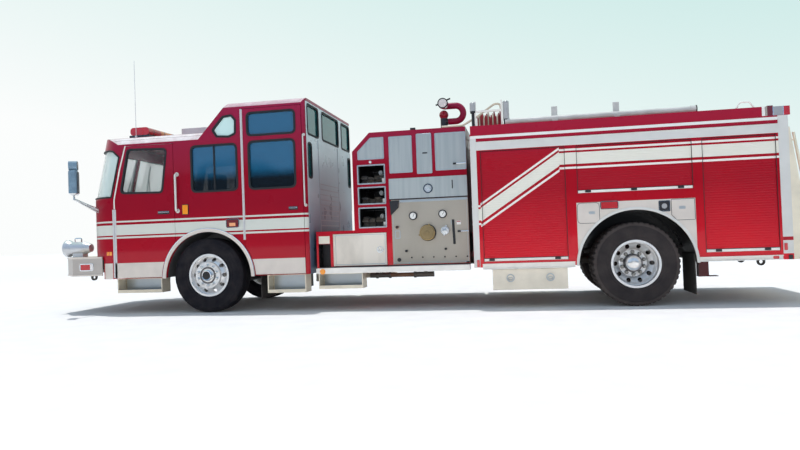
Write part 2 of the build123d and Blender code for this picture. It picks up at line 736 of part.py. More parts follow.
def cab_floor():
    inner = WALL + 1
    front, rear = CAB_FRONT + inner, CAB_REAR - inner
    half = CAB_HALF - inner
    plan = cab_plan(front, rear, half, CAB_CORNER_R - inner)
    floor = upward(plan, FLOOR_Z, FLOOR_Z + FLOOR_THICK)
    for x0, x1 in ((DOOR_FRONT_X + 60, FRONT_WELL_REAR), (CREW_WELL_FRONT, CREW_REAR_X - 30)):
        well = block(x0, x1, WELL_INNER_Y, half + 5, WELL_Z, FLOOR_Z + FLOOR_THICK + 1)
        lining = block(
            x0 - WELL_LINING, x1 + WELL_LINING, WELL_INNER_Y - WELL_LINING, half, WELL_Z - WELL_LINING, FLOOR_Z + 5
        )
        floor += lining + other(lining)
        floor -= well + other(well)
    tunnel = block(ENGINE_FRONT - 60, ENGINE_REAR + 60, -TUNNEL_HALF, TUNNEL_HALF, FLOOR_Z, TUNNEL_TOP)
    floor += tunnel
    floor -= block(
        ENGINE_FRONT - 40, ENGINE_REAR + 40, -TUNNEL_HALF + 20, TUNNEL_HALF - 20, FLOOR_Z - 5, TUNNEL_TOP - 20
    )
    above = block(-HOUSING_R, HOUSING_R * 1.2, HOUSING_INNER_Y - 5, half, CAB_BOTTOM, TUNNEL_TOP)
    housing = across(arch_disc(HOUSING_R + HOUSING_THICK), HOUSING_INNER_Y, half) & above
    floor += housing + other(housing)
    hollow = across(arch_disc(HOUSING_R), HOUSING_INNER_Y + HOUSING_THICK, half + 5)
    return (floor - hollow - other(hollow)) & cab_volume(inner, CAB_BOTTOM)


# Seats: cushion and back for each, columns: station, side distance, floor height
SEATS = [(-880, 640, 1040), (-880, -640, 1040), (1120, 640, 1040), (1120, 0, 1040), (1120, -640, 1040)]


def seats():
    pieces = []
    for x, y, z in SEATS:
        base = block(x - 180, x + 180, y - 170, y + 170, z, z + 280)
        cushion = block(x - 240, x + 240, y - 235, y + 235, z + 280, z + 400)
        back = block(x + 130, x + 250, y - 230, y + 230, z + 400, z + 1080)
        pieces.append(base + cushion + back)
    return pieces


def dashboard():
    """Instrument shelf below the windscreen, with the column and steering wheel on the left."""
    half = CAB_HALF - WALL - 250
    shape = across(
        outline([(-1760, 1400), (-1440, 1400), (-1400, 1500), (-1500, 1640), (-1760, 1640)]), -half, half
    )
    hub = (-1290, -640, 1690)
    shape += rod((-1420, -640, 1411), hub, 28)
    lean = Plane(hub, z_dir=(0.42, 0, 0.9))
    ring = lean * Torus(215, 16)
    spoke = lean * Box(410, 36, 12)
    return shape + ring + spoke


# Mirrors: arm from the cab corner to a flat glass and a round-topped convex one
MIRROR_TURN = 28


def mirrors():
    y = CAB_HALF + 235
    head_x = -1870
    head = Box(120, 190, 350)
    head = fillet(head.edges().filter_by(Axis.Z), 42)
    head = fillet(head.faces().sort_by(Axis.Z)[0].edges() + head.faces().sort_by(Axis.Z)[-1].edges(), 26)
    small = fillet(Box(110, 150, 130).edges().filter_by(Axis.X), 50)
    shape = Pos(head_x, y, 1895) * Rot(0, 0, -MIRROR_TURN) * head
    shape += Pos(head_x, y, 2135) * Rot(0, 0, -MIRROR_TURN) * small
    shape += rod((head_x, y, 1650), (head_x, y, 2150), 12)
    knee = (-1745, CAB_HALF - 20, 1545)
    shape += rod((head_x, y, 1660), knee, 16)
    shape += rod(knee, (-1700, CAB_HALF - 110, 1500), 22)
    shape -= cab_volume(0, CAB_BOTTOM)
    return [shape, other(shape)]


# Steps under the cab doors and the pump, columns: front, rear, bottom, top, half width of the outer face
STEPS = [
    (-1390, -690, 300, CAB_BOTTOM, CAB_HALF - 6),
    (890, 1440, 260, CAB_BOTTOM, CAB_HALF - 6),
    (1630, 2240, 300, BOARD_BOTTOM, BODY_HALF),
]
STEP_DEPTH = 220
STEP_PLATE = 6
STEP_CHEEK = 14
STEP_LIP = 45


def steps():
    pieces = []
    for x0, x1, z0, z1, face in STEPS:
        box = block(x0, x1, face - STEP_DEPTH, face, z0, z1)
        box -= block(
            x0 + STEP_PLATE, x1 - STEP_PLATE, face - STEP_DEPTH + STEP_PLATE, face - STEP_PLATE,
            z0 + STEP_PLATE, z1 - STEP_PLATE,
        )
        mouth = block(
            x0 + STEP_CHEEK, x1 - STEP_CHEEK, face - 50, face + 5, z0 + STEP_LIP, z1 - STEP_PLATE
        )
        pieces += [box - mouth, other(box - mouth)]
    return pieces


# Rub rails low on the body, columns: front, rear, bottom, top
RUB_RAILS = [
    (BODY_FRONT + 110, REAR_ARCH_X - 740, 504, 577),
    (REAR_ARCH_X + 720, BODY_REAR - 121, 531, 587),
]
RUB_RAIL_DEPTH = 28


def running_boards():
    x0, x1 = STEP_FRONT + 50, BODY_FRONT - 60
    board = block(x0, x1, PUMP_HALF - 40, BODY_HALF, BOARD_BOTTOM, BOARD_TOP)
    board -= block(
        x0 + 8, x1 - 8, PUMP_HALF - 60, BODY_HALF - 8, BOARD_BOTTOM - 1, BOARD_TOP - 6
    )
    arms = None
    for station in (x0 + 250, x1 - 250):
        arm = block(station - 30, station + 30, FRAME_HALF, PUMP_HALF - 30, BOARD_BOTTOM + 10, LOW_BOTTOM - 8)
        arms = arm if arms is None else arms + arm
    board += arms
    pieces = [board, other(board)]
    for x0, x1, z0, z1 in RUB_RAILS:
        rail = block(x0, x1, BODY_HALF, BODY_HALF + RUB_RAIL_DEPTH, z0, z1)
        rail -= block(x0 - 1, x1 + 1, BODY_HALF + 8, BODY_HALF + RUB_RAIL_DEPTH + 1, z0 + 9, z1 - 9)
        pieces += [rail, other(rail)]
    return pieces


# Fender trims on the cab and stainless panels round the rear wheels
def fender_panels():
    trim = across(arch_disc(FRONT_TRIM_R) - arch_disc(FRONT_ARCH_R), CAB_HALF, CAB_HALF + TRIM_THICK)
    trim &= block(-900, 900, CAB_HALF - 9, CAB_HALF + 99, CAB_BOTTOM - 10, 1400)
    plate = panel(REAR_ARCH_X - FENDER_HALF, REAR_ARCH_X + FENDER_HALF, BODY_BOTTOM, FENDER_TOP)
    plate -= Pos(REAR_ARCH_X, ARCH_Z + 12) * Circle(REAR_ARCH_R)
    rear = across(plate, BODY_HALF, BODY_HALF + FENDER_PLATE)
    return [trim, other(trim), rear, other(rear)]


# Light bar and roof fittings
def light_bar():
    base = block(-1310, -990, -900, 900, LOW_ROOF_TOP + 25, LOW_ROOF_TOP + 60)
    lens = block(-1300, -1000, -890, 890, LOW_ROOF_TOP + 60, LOW_ROOF_TOP + 175)
    lens = fillet(lens.edges().filter_by(Axis.Y), 48)
    feet = block(-1200, -1100, -620, -540, LOW_ROOF_TOP, LOW_ROOF_TOP + 25)
    return base + lens + feet + other(feet)


AERIAL_TOP = 3680


def roof_fittings():
    box = fillet(block(-760, -300, -420, 420, LOW_ROOF_TOP, LOW_ROOF_TOP + 200).edges().filter_by(Axis.Z), 60)
    aerial = post(-1150, -980, LOW_ROOF_TOP, LOW_ROOF_TOP + 40, 16)
    aerial += post(-1150, -980, LOW_ROOF_TOP + 30, AERIAL_TOP, 4)
    return [box, aerial]


# Pump module: one outline across the width, with through hose bins, lockers and an open underside
BIN_FRONT = 2166
BIN_REAR = 2546
BINS = [(1102, 1374), (1420, 1651), (1696, 1953)]
LOCKER_FRONT = 1797
LOCKER_REAR = 2541
LOCKER_TOP = 1034
LOCKER_DEPTH = 420
PUMP_PART = BIN_REAR + 54


def pump_outline():
    return outline([
        (STEP_FRONT, LOW_BOTTOM), (PUMP_REAR, LOW_BOTTOM), (PUMP_REAR, PUMP_TOP),
        (PUMP_SHOULDER_X, PUMP_TOP), (PUMP_FRONT, PUMP_SHOULDER_Z), (PUMP_FRONT, LOW_TOP),
        (STEP_FRONT, LOW_TOP),
    ])


def pump_module():
    shape = across(pump_outline(), -PUMP_HALF, PUMP_HALF)
    for z0, z1 in BINS:
        shape -= block(BIN_FRONT, BIN_REAR, -PUMP_HALF - 1, PUMP_HALF + 1, z0, z1)
    shape -= block(
        BIN_REAR + 74, PUMP_REAR - 40, -PUMP_HALF + 50, PUMP_HALF - 50, LOW_BOTTOM - 1, PUMP_TOP - 40
    )
    shape -= block(
        STEP_FRONT + 40, BIN_REAR + 34, -FRAME_HALF - 60, FRAME_HALF + 60, LOW_BOTTOM - 1, LOW_TOP - 40
    )
    locker = block(
        LOCKER_FRONT, LOCKER_REAR, PUMP_HALF - LOCKER_DEPTH, PUMP_HALF + 1, LOW_BOTTOM + 12, LOCKER_TOP
    )
    recess = block(STEP_FRONT + 30, LOCKER_FRONT - 50, PUMP_HALF - 180, PUMP_HALF + 1, LOW_BOTTOM + 6, 900)
    shape -= locker + other(locker)
    shape -= recess + other(recess)
    room = FRAME_HALF + 20
    shape -= block(STEP_FRONT - 1, PUMP_REAR + 1, -room, room, LOW_BOTTOM - 1, FRAME_TOP + 15)
    riser = post(MONITOR_X, 0, PUMP_TOP, PUMP_TOP + 150, 55)
    riser += post(MONITOR_X, 0, PUMP_TOP, PUMP_TOP + 16, 110)
    return parted(shape + riser, [PUMP_PART])


# Locker doors under the hose bins, hinged at their front edges
def locker_door():
    z0, z1 = LOW_BOTTOM + 12 + DOOR_GAP, LOCKER_TOP - DOOR_GAP
    door = block(LOCKER_FRONT + DOOR_GAP, LOCKER_REAR - DOOR_GAP, PUMP_HALF - 25, PUMP_HALF, z0, z1)
    pin = post(LOCKER_FRONT, PUMP_HALF + 8, z0, z1, 7)
    wrap = block(LOCKER_FRONT, LOCKER_FRONT + 24, PUMP_HALF, PUMP_HALF + 10, z0, z1)
    wrap &= block(LOCKER_FRONT + 1, LOCKER_REAR, PUMP_HALF, PUMP_HALF + 20, z0, z1)
    foot = block(LOCKER_FRONT + DOOR_GAP, LOCKER_FRONT + 24, PUMP_HALF - 5, PUMP_HALF + 5, z0, z1)
    latch = axle_disc(PUMP_HALF, PUMP_HALF + 10, 45, x=LOCKER_REAR - 93, z=800)
    return door + pin + wrap + foot + latch


# Side panels of the pump, columns: front, rear, bottom, top, corner radius, plate thickness
PUMP_PANELS = [
    (BIN_REAR + 70, PUMP_REAR - 727, 1825, 2316, 12, PANEL_PLATE),
    (PUMP_REAR - 660, PUMP_REAR - 460, 1799, 2330, 12, PANEL_PLATE + 4),
    (PUMP_REAR - 409, PUMP_REAR - 5, 1830, 2323, 12, PANEL_PLATE),
    (BIN_REAR + 53, PUMP_REAR - 1, 1475, 1748, 0, PANEL_PLATE + 10),
    (BIN_REAR + 74, PUMP_REAR - 1, 592, 1460, 0, PANEL_PLATE),
]


def pump_panels():
    x0, x1 = PUMP_FRONT + 80, BIN_REAR - 6
    corner = outline([
        (x0, 2030), (x1, 2030), (x1, 2318), (PUMP_SHOULDER_X + 14, 2318), (x0, PUMP_SHOULDER_Z - 5),
    ])
    faces = [(corner, PANEL_PLATE)]
    faces += [(panel(x0, x1, z0, z1, radius), thick) for x0, x1, z0, z1, radius, thick in PUMP_PANELS]
    pieces = []
    for face, thick in faces:
        plate = across(face, PUMP_HALF, PUMP_HALF + thick)
        pieces += [plate, other(plate)]
    return pieces


# Fittings on the pump panel: two gauges, the suction cap, a discharge cap, a valve, two knobs and a
# square plate, columns: distance ahead of the panel's rear edge, height, radius, how far each stands out
PUMP_FITTINGS = [
    (738, 1236, 48, 26),
    (340, 1246, 48, 26),
    (547, 1005, 102, 75),
    (313, 1023, 54, 65),
    (960, 1092, 20, 34),
    (843, 769, 14, 26),
    (313, 782, 14, 26),
    (948, 653, 26, 12),
]
RING_PULL_BACK = 522
RING_PULL_Z = 1594


def pump_fittings():
    face = PUMP_HALF + PANEL_PLATE
    pieces = []
    for ahead, z, radius, reach in PUMP_FITTINGS:
        knob = axle_disc(face, face + reach, radius, x=PUMP_REAR - ahead, z=z)
        pieces += [knob, other(knob)]
    ring = axle_disc(face + 10, face + 20, 62, x=PUMP_REAR - RING_PULL_BACK, z=RING_PULL_Z)
    return pieces + [ring, other(ring)]


# Hose loads folded in the through bins and in the rack ahead of the hose bed
def hose_loads():
    pieces = []
    for z0, z1 in BINS:
        pieces.append(block(BIN_FRONT + 20, BIN_REAR - 20, -PUMP_HALF + 90, PUMP_HALF - 90, z0, z1 - 60))
    for x0 in (RACK_FRONT + 30, RACK_FRONT + 190):
        pieces.append(block(x0, x0 + 130, -900, 900, RACK_FLOOR_Z, RACK_FLOOR_Z + 160))
    return pieces


RACK_FRONT = BODY_FRONT + 70
RACK_LENGTH = 360
RACK_REAR = RACK_FRONT + RACK_LENGTH
RACK_FLOOR_Z = 2355
RACK_TOP = 2690
RACK_RAIL_Z = 2545


def top_rack():
    """Hose rack across the body's front, with the suction hose and its two posts on the left."""
    floor = block(RACK_FRONT, RACK_REAR, -1100, 1100, RACK_FLOOR_Z - 20, RACK_FLOOR_Z)
    rack = floor
    for x in (RACK_FRONT, RACK_REAR - 20):
        for y in (-1100, 1070):
            rack += block(x, x + 20, y, y + 30, RACK_FLOOR_Z, RACK_TOP)
    for y in (-1100, 1070):
        rack += block(RACK_FRONT, RACK_REAR, y, y + 30, RACK_RAIL_Z, RACK_RAIL_Z + 25)
    return rack


SUCTION_R = 38
SUCTION_COUPLING_R = 46
SUCTION_Z = 2402
SUCTION_Y = BODY_HALF - 120
STAKE_TOP = 2565
# Stakes that carry the suction hose, each by the station of its middle
STAKES = [RACK_REAR + 657, WHEELBASE - 147]


def suction_hose():
    """Hard hose in saddles on the left bay, with a flat stake behind it at each saddle."""
    y = -SUCTION_Y
    start, end = RACK_REAR + 20, WHEELBASE + 792
    hose = rod((start, y, SUCTION_Z), (end, y, SUCTION_Z), SUCTION_R)
    for x0 in (start, end - 70):
        hose += rod((x0, y, SUCTION_Z), (x0 + 70, y, SUCTION_Z), SUCTION_COUPLING_R)
    pieces = [hose]
    for x in STAKES:
        saddle = block(x - 38, x + 38, y - 52, y + 52, BODY_TOP, SUCTION_Z - 12)
        saddle += block(x - 38, x + 38, y + 40, y + 52, SUCTION_Z - 13, STAKE_TOP)
        pieces.append(saddle - rod((x - 99, y, SUCTION_Z), (x + 99, y, SUCTION_Z), SUCTION_R))
    return pieces


# Body: two side bays with locker openings, hose bed between, columns: front, rear, bottom of each opening
OPENINGS = [
    (BODY_FRONT + 130, REAR_ARCH_X - 820, 605),
    (REAR_ARCH_X - 675, REAR_ARCH_X + 680, 1425),
    (REAR_ARCH_X + 800, BODY_REAR - 145, 640),
]
REAR_WELL_Y = 500
REAR_LOCKER_DEPTH = 700
REAR_DOOR_HALF = 450
REAR_DOOR_BOTTOM = 1080
REAR_DOOR_TOP = 1640
# Upright plates along the hose bed, columns: side distance, thickness, top
BED_DIVIDERS = [(0, 12, 2180), (295, 10, 2150)]
# Hanger under the body behind the rear wheels
BRACKET_AHEAD = 737
BRACKET_BOTTOM = 340


def side_bay():
    inner = BODY_HALF - BAY_DEPTH
    bay = block(BODY_FRONT, BODY_REAR, inner, BODY_HALF, BODY_BOTTOM, BODY_TOP)
    for x0, x1, z0 in OPENINGS:
        bay -= block(x0, x1, inner + BAY_WALL, BODY_HALF + 1, z0, DOOR_HEAD_Z)
    drum = block(
        BODY_FRONT + BAY_WALL, BODY_REAR - BAY_WALL, inner + BAY_WALL, BODY_HALF - BAY_WALL,
        DOOR_HEAD_Z + 20, BODY_TOP - 20,
    )
    bay -= drum
    rail = block(BODY_FRONT + 10, BODY_REAR - 245, BODY_HALF - 40, BODY_HALF, BODY_TOP, BED_WALL_TOP)
    return bay + rail


def body_shell():
    """Two side bays with the rear wheel wells, and the hose bed with the tank space between them."""
    inner = BODY_HALF - BAY_DEPTH
    arch = Pos(REAR_ARCH_X, ARCH_Z + 12)
    lined = across(arch * Circle(REAR_ARCH_R + 10), REAR_WELL_Y - 10, inner + 5)
    liner = lined & block(BODY_FRONT, BODY_REAR, 0, inner + 5, FRAME_BOTTOM, FENDER_TOP)
    well = across(arch * Circle(REAR_ARCH_R), REAR_WELL_Y, BODY_HALF + 1)
    bay = side_bay() + liner - well
    shape = block(BODY_FRONT, BODY_REAR, -inner, inner, BED_FLOOR_Z, BED_FLOOR_Z + BAY_WALL)
    shape += block(BODY_FRONT, BODY_REAR, -inner, inner, FRAME_TOP + 20, FRAME_TOP + 20 + BAY_WALL)
    shape += block(BODY_FRONT, BODY_FRONT + BAY_WALL, -inner, inner, FRAME_TOP + 20, BODY_TOP)
    bulkhead = BODY_REAR - REAR_LOCKER_DEPTH
    shape += block(bulkhead - BAY_WALL, bulkhead, -inner, inner, FRAME_TOP + 20, BED_FLOOR_Z)
    rear = block(BODY_REAR - BAY_WALL, BODY_REAR, -inner, inner, TAILBOARD_Z + 30, BED_FLOOR_Z)
    rear -= block(
        BODY_REAR - BAY_WALL - 1, BODY_REAR + 1, -REAR_DOOR_HALF, REAR_DOOR_HALF,
        REAR_DOOR_BOTTOM, REAR_DOOR_TOP,
    )
    shape += rear
    pieces = [bay, other(bay), shape - lined - other(lined)]
    x0, x1, z0 = BODY_FRONT + 230, BODY_REAR - 55, BED_FLOOR_Z + BAY_WALL
    for y, thick, top in BED_DIVIDERS:
        pieces.append(block(x0, x1, y - thick / 2, y + thick / 2, z0, top))
    start = REAR_ARCH_X + BRACKET_AHEAD
    bracket = block(start, start + 115, 940, 1060, BRACKET_BOTTOM, BODY_BOTTOM)
    bracket += block(start, start + 224, 940, 1060, BRACKET_BOTTOM, BRACKET_BOTTOM + 8)
    return pieces + [bracket, other(bracket)]


def roll_up_shutters():
    """Slatted curtains closed in their openings, each with a bottom bar."""
    outer = BODY_HALF - SHUTTER_RECESS
    pieces = []
    for x0, x1, z0 in OPENINGS:
        curtain = block(x0, x1, outer - SHUTTER_THICK, outer, z0, DOOR_HEAD_Z)
        curtain += block(x0, x1, outer, outer + 8, z0, z0 + 45)
        pieces += [curtain, other(curtain)]
    back = block(
        BODY_REAR - BAY_WALL + 5, BODY_REAR - 5, -REAR_DOOR_HALF, REAR_DOOR_HALF,
        REAR_DOOR_BOTTOM, REAR_DOOR_TOP,
    )
    return pieces + [back]


# Boxes slung under the body, each with a drop door on its lower edge
def under_box():
    y0, y1 = BODY_HALF - 420, BODY_HALF - 14
    box = block(BOX_FRONT, BOX_REAR, y0, y1, BOX_BOTTOM, BOX_TOP)
    box -= block(
        BOX_FRONT + BOX_WALL, BOX_REAR - BOX_WALL, y0 + BOX_WALL, y1 + 1,
        BOX_BOTTOM + BOX_WALL, BOX_TOP - BOX_WALL,
    )
    return box + block(BOX_FRONT - 50, BOX_REAR + 45, y0, y1, BOX_TOP, BODY_BOTTOM)


def drop_door():
    y1 = BODY_HALF - 14
    door = block(BOX_FRONT, BOX_REAR, y1 + DOOR_GAP, y1 + DOOR_GAP + 8, BOX_BOTTOM + 12, BOX_TOP - 4)
    pin_z = BOX_BOTTOM + 4
    pin_y = y1 + DOOR_GAP + 4
    door += rod((BOX_FRONT, pin_y, pin_z), (BOX_REAR, pin_y, pin_z), 5)
    door += block(BOX_FRONT, BOX_REAR, pin_y - 3, pin_y + 3, pin_z, BOX_BOTTOM + 14)
    for x in (BOX_FRONT + 225, BOX_REAR - 215):
        door += axle_disc(y1 + DOOR_GAP + 8, y1 + DOOR_GAP + 16, 40, x=x, z=388)
    return door


# Tailboard with a slanted panel each side and grab rails, one of them level below the hose bed
BED_RAIL_Z = 1672


def tailboard():
    plate = block(BODY_REAR, TAIL, -BODY_HALF, BODY_HALF, TAILBOARD_Z - 70, TAILBOARD_Z)
    side = across(
        outline([
            (BODY_REAR, TAILBOARD_Z), (BODY_REAR + 205, TAILBOARD_Z), (BODY_REAR + 105, 1400),
            (BODY_REAR + 15, 2100), (BODY_REAR, 2100),
        ]),
        BODY_HALF - 30, BODY_HALF,
    )
    y = BODY_HALF - 60
    rail = rod((BODY_REAR + 255, y, 760), (BODY_REAR + 75, y, 2040), 16)
    rail += rod((BODY_REAR + 255, y, 790), (BODY_REAR + 155, y, 790), 12)
    rail += rod((BODY_REAR + 90, y, 1950), (BODY_REAR, y, 1950), 12)
    rail += block(BODY_REAR + 115, BODY_REAR + 175, BODY_HALF - 72, BODY_HALF - 30, 778, 802)
    level = rod((BODY_REAR + 70, -450, BED_RAIL_Z), (BODY_REAR + 70, 450, BED_RAIL_Z), 16)
    for y in (-430, 430):
        level += rod((BODY_REAR, y, BED_RAIL_Z), (BODY_REAR + 70, y, BED_RAIL_Z), 14)
    return [plate + side + other(side) + rail + other(rail), level]


# Mud flaps, columns: front, rear, half width outer, width, bottom, top
MUD_FLAPS = [
    (770, 782, CAB_HALF - WALL - 15, 500, 180, 620),
    (REAR_ARCH_X + 665, REAR_ARCH_X + 677, BODY_HALF - 20, 640, 135, 630),
]


def mud_flaps():
    pieces = []
    for x0, x1, outer, width, z0, z1 in MUD_FLAPS:
        flap = block(x0, x1, outer - width, outer, z0, z1)
        pieces += [flap, other(flap)]
    return pieces


FENDER_FACE = BODY_HALF + FENDER_PLATE

# Lamps on flat faces, columns: front, rear, inner and outer half width, bottom, top
LAMPS = [
    (CAB_FRONT - 22, CAB_FRONT, 480, 690, 970, 1110),
    (-1967, -1776, CAB_HALF, CAB_HALF + 10, 646, 724),
    (334, 500, CAB_HALF + TRIM_THICK, CAB_HALF + TRIM_THICK + 22, 1186, 1283),
    (REAR_ARCH_X - 403, REAR_ARCH_X - 210, FENDER_FACE, FENDER_FACE + 24, 1222, 1300),
    (BODY_REAR - 219, BODY_REAR - 156, BODY_HALF - 90, BODY_HALF - 5, BODY_TOP, BODY_TOP + 122),
    (BODY_REAR - 152, BODY_REAR + 28, BODY_HALF - 110, BODY_HALF - 4, BODY_TOP, BODY_TOP + 108),
    (BODY_REAR, BODY_REAR + 20, BODY_HALF - 230, BODY_HALF - 60, 900, 1400),
]


def lamps():
    pieces = []
    for x0, x1, y0, y1, z0, z1 in LAMPS:
        lamp = block(x0, x1, y0, y1, z0, z1)
        pieces += [lamp, other(lamp)]
    for y in (-160, 0, 160):
        pieces.append(rod((BODY_REAR, y, BED_FLOOR_Z + 15), (BODY_REAR + 22, y, BED_FLOOR_Z + 15), 14))
    return pieces


# Deck monitor: a swivel on the riser, and a looped pipe with its barrel that tilts about a level collar
MONITOR_X = PUMP_REAR - 391
MONITOR_Z = PUMP_TOP + 150
MONITOR_BASE_R = 52
MONITOR_TILT_Z = MONITOR_Z + 97
COLLAR_R = 48
COLLAR_END = MONITOR_X + 63
COLLAR_PIN_R = 34
LOOP_X = MONITOR_X + 173
LOOP_R = 115
LOOP_PIPE_R = 47
BARREL_X = MONITOR_X + 18
BARREL_TIP_R = 75
BARREL_TIP_Y = -260


def monitor_swivel():
    """Base, the ball on its top and the collar that the loop turns in."""
    shape = post(MONITOR_X, 0, MONITOR_Z + 5, MONITOR_Z + 157, MONITOR_BASE_R)
    shape += Pos(MONITOR_X, 0, MONITOR_Z + 201) * Sphere(68)
    shape += rod((MONITOR_X, 0, MONITOR_TILT_Z), (COLLAR_END, 0, MONITOR_TILT_Z), COLLAR_R)
    return shape - rod(
        (MONITOR_X + 8, 0, MONITOR_TILT_Z), (COLLAR_END + 1, 0, MONITOR_TILT_Z), COLLAR_PIN_R + SHAFT_CLEARANCE
    )


def monitor_barrel():
    low, top = MONITOR_TILT_Z, MONITOR_TILT_Z + 2 * LOOP_R
    shape = rod((MONITOR_X + 14, 0, low), (COLLAR_END + 20, 0, low), COLLAR_PIN_R)
    shape += rod((COLLAR_END + MOVING_GAP, 0, low), (LOOP_X, 0, low), LOOP_PIPE_R)
    bend = Pos(LOOP_X, 0, low + LOOP_R) * Rot(90, 0, 0) * Torus(LOOP_R, LOOP_PIPE_R)
    shape += bend & block(LOOP_X, LOOP_X + 300, -99, 99, low - 99, top + 99)
    shape += rod((LOOP_X, 0, top), (BARREL_X, 0, top), LOOP_PIPE_R)
    shape += Pos(BARREL_X, 0, top) * Sphere(LOOP_PIPE_R + 1)
    shape += rod((BARREL_X, 0, top), (BARREL_X, -150, top), 38)
    shape += rod((BARREL_X, -120, top), (BARREL_X, -190, top), 52)
    return shape + rod((BARREL_X, BARREL_TIP_Y + 75, top), (BARREL_X, BARREL_TIP_Y, top), BARREL_TIP_R)


# Chassis and wheels
put("chassis_frame", *chassis_frame())
front_spring = leaf_spring(0, FRONT_SPRING_HALF, FRONT_SEAT_Z, FRONT_SPRING_END_Z, FRONT_LEAVES)
rear_spring = leaf_spring(WHEELBASE, REAR_SPRING_HALF, REAR_SEAT_Z, REAR_SPRING_END_Z, REAR_LEAVES)
put("leaf_springs", front_spring, other(front_spring), rear_spring, other(rear_spring))
put("front_axle", front_axle())
put("rear_axle", rear_axle())
put("engine_block", engine_block())
put("fuel_tank", fuel_tank())
right_knuckle = knuckle()
put("knuckle_right", right_knuckle)
put("knuckle_left", other(right_knuckle))
put("tie_rod", tie_rod())
front_tyre = tyre(FRONT_WHEEL_Y)
steer_rim = front_rim()
put("front_tyre_right", front_tyre)
put("front_tyre_left", other(front_tyre))
put("front_rim_right", steer_rim)
put("front_rim_left", other(steer_rim))
twin = Pos(WHEELBASE, 0, 0) * Compound([
    *tyre(REAR_WHEEL_Y + REAR_OFFSET).solids(), *tyre(REAR_WHEEL_Y - REAR_OFFSET).solids(),
])
twin_rims = rear_rims()
put("rear_tyres_right", twin)
put("rear_tyres_left", other(twin))
put("rear_rims_right", twin_rims)
put("rear_rims_left", other(twin_rims))

# Cab
put("front_bumper", front_bumper())
put("siren", siren())
walls = cab_walls()
high = block(CAB_FRONT - 9, CAB_REAR + 9, -CAB_HALF - 9, CAB_HALF + 9, ROOF_SEAM_Z, HIGH_ROOF_TOP + 9)
put("cab_shell", *parted(walls - high, [DOOR_FRONT_X, CREW_REAR_X]))
put("cab_roof", *parted(walls & high, [SLOPE_FOOT_X, CREW_REAR_X], [0]))
left_floor, tunnel_floor, right_floor = parted(cab_floor(), [], [-TUNNEL_HALF - 10, TUNNEL_HALF + 10])
floor_seams = [FRONT_WELL_REAR + WELL_LINING + SEAM_GAP, CREW_WELL_FRONT - WELL_LINING - SEAM_GAP]
put("cab_floor", tunnel_floor, *parted(left_floor, floor_seams), *parted(right_floor, floor_seams))
put("cab_glass", cab_glass())
put("grille", grille())
put("seats", *seats())
put("dashboard", dashboard())
put("mirrors", *mirrors())
put("steps", *steps())
put("light_bar", light_bar())
put("roof_fittings", *roof_fittings())
front_door = door_panel(front_door_outline(), [front_window()], DOOR_FRONT_X, HINGE_BOTTOM, 1500, 40)
crew_door = door_panel(crew_door_outline(), crew_windows(), CREW_HINGE_X, 1000, CREW_TOP - 10, 20)
put("front_door_right", front_door)
put("front_door_left", other(front_door))
put("crew_door_right", crew_door)
put("crew_door_left", other(crew_door))
front_pane = door_glass([front_window()])
crew_pane = door_glass(crew_windows())
put("front_glass_right", front_pane)
put("front_glass_left", other(front_pane))
put("crew_glass_right", crew_pane)
put("crew_glass_left", other(crew_pane))

# Pump
put("pump_module", *pump_module())
put("pump_panels", *pump_panels())
put("pump_fittings", *pump_fittings())
put("hose_loads", *hose_loads())
put("running_boards", *running_boards())
right_locker = locker_door()
put("locker_door_right", right_locker)
put("locker_door_left", other(right_locker))
put("monitor_swivel", monitor_swivel())
put("monitor_barrel", monitor_barrel())

# Body
put("body_shell", *body_shell())
put("roll_up_shutters", *roll_up_shutters())
put("fender_panels", *fender_panels())
slung_box = under_box()
put("under_boxes", slung_box, other(slung_box))
right_drop = drop_door()
put("drop_door_right", right_drop)
put("drop_door_left", other(right_drop))
put("tailboard", *tailboard())
put("mud_flaps", *mud_flaps())
put("top_rack", top_rack())
put("suction_hose", *suction_hose())
put("lamps", *lamps())
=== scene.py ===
"""Looks of the fire engine: materials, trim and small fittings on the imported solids.

Stations run in metres from the front axle to the tail, and y is measured from the middle line.
"""
from functools import partialmethod
from math import asin, atan2, cos, pi, radians, sin, sqrt, tan

import bmesh
import bpy
from mathutils import Matrix, Vector


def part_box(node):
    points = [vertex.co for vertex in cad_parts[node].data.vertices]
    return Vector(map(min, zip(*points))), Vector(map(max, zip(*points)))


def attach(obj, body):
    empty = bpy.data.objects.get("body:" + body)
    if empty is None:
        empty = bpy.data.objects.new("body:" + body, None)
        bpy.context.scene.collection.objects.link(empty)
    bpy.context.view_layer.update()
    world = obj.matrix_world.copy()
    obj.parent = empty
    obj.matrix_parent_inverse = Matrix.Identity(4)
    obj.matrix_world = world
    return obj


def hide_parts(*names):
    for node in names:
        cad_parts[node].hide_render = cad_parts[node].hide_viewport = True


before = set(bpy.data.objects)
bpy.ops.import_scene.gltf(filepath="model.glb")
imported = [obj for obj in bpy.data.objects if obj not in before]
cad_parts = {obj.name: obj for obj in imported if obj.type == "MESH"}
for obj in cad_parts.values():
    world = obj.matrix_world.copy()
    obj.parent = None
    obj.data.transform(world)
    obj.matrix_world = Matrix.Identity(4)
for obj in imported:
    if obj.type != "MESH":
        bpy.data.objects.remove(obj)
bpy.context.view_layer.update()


def middle(node):
    low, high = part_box(node)
    return (low + high) / 2


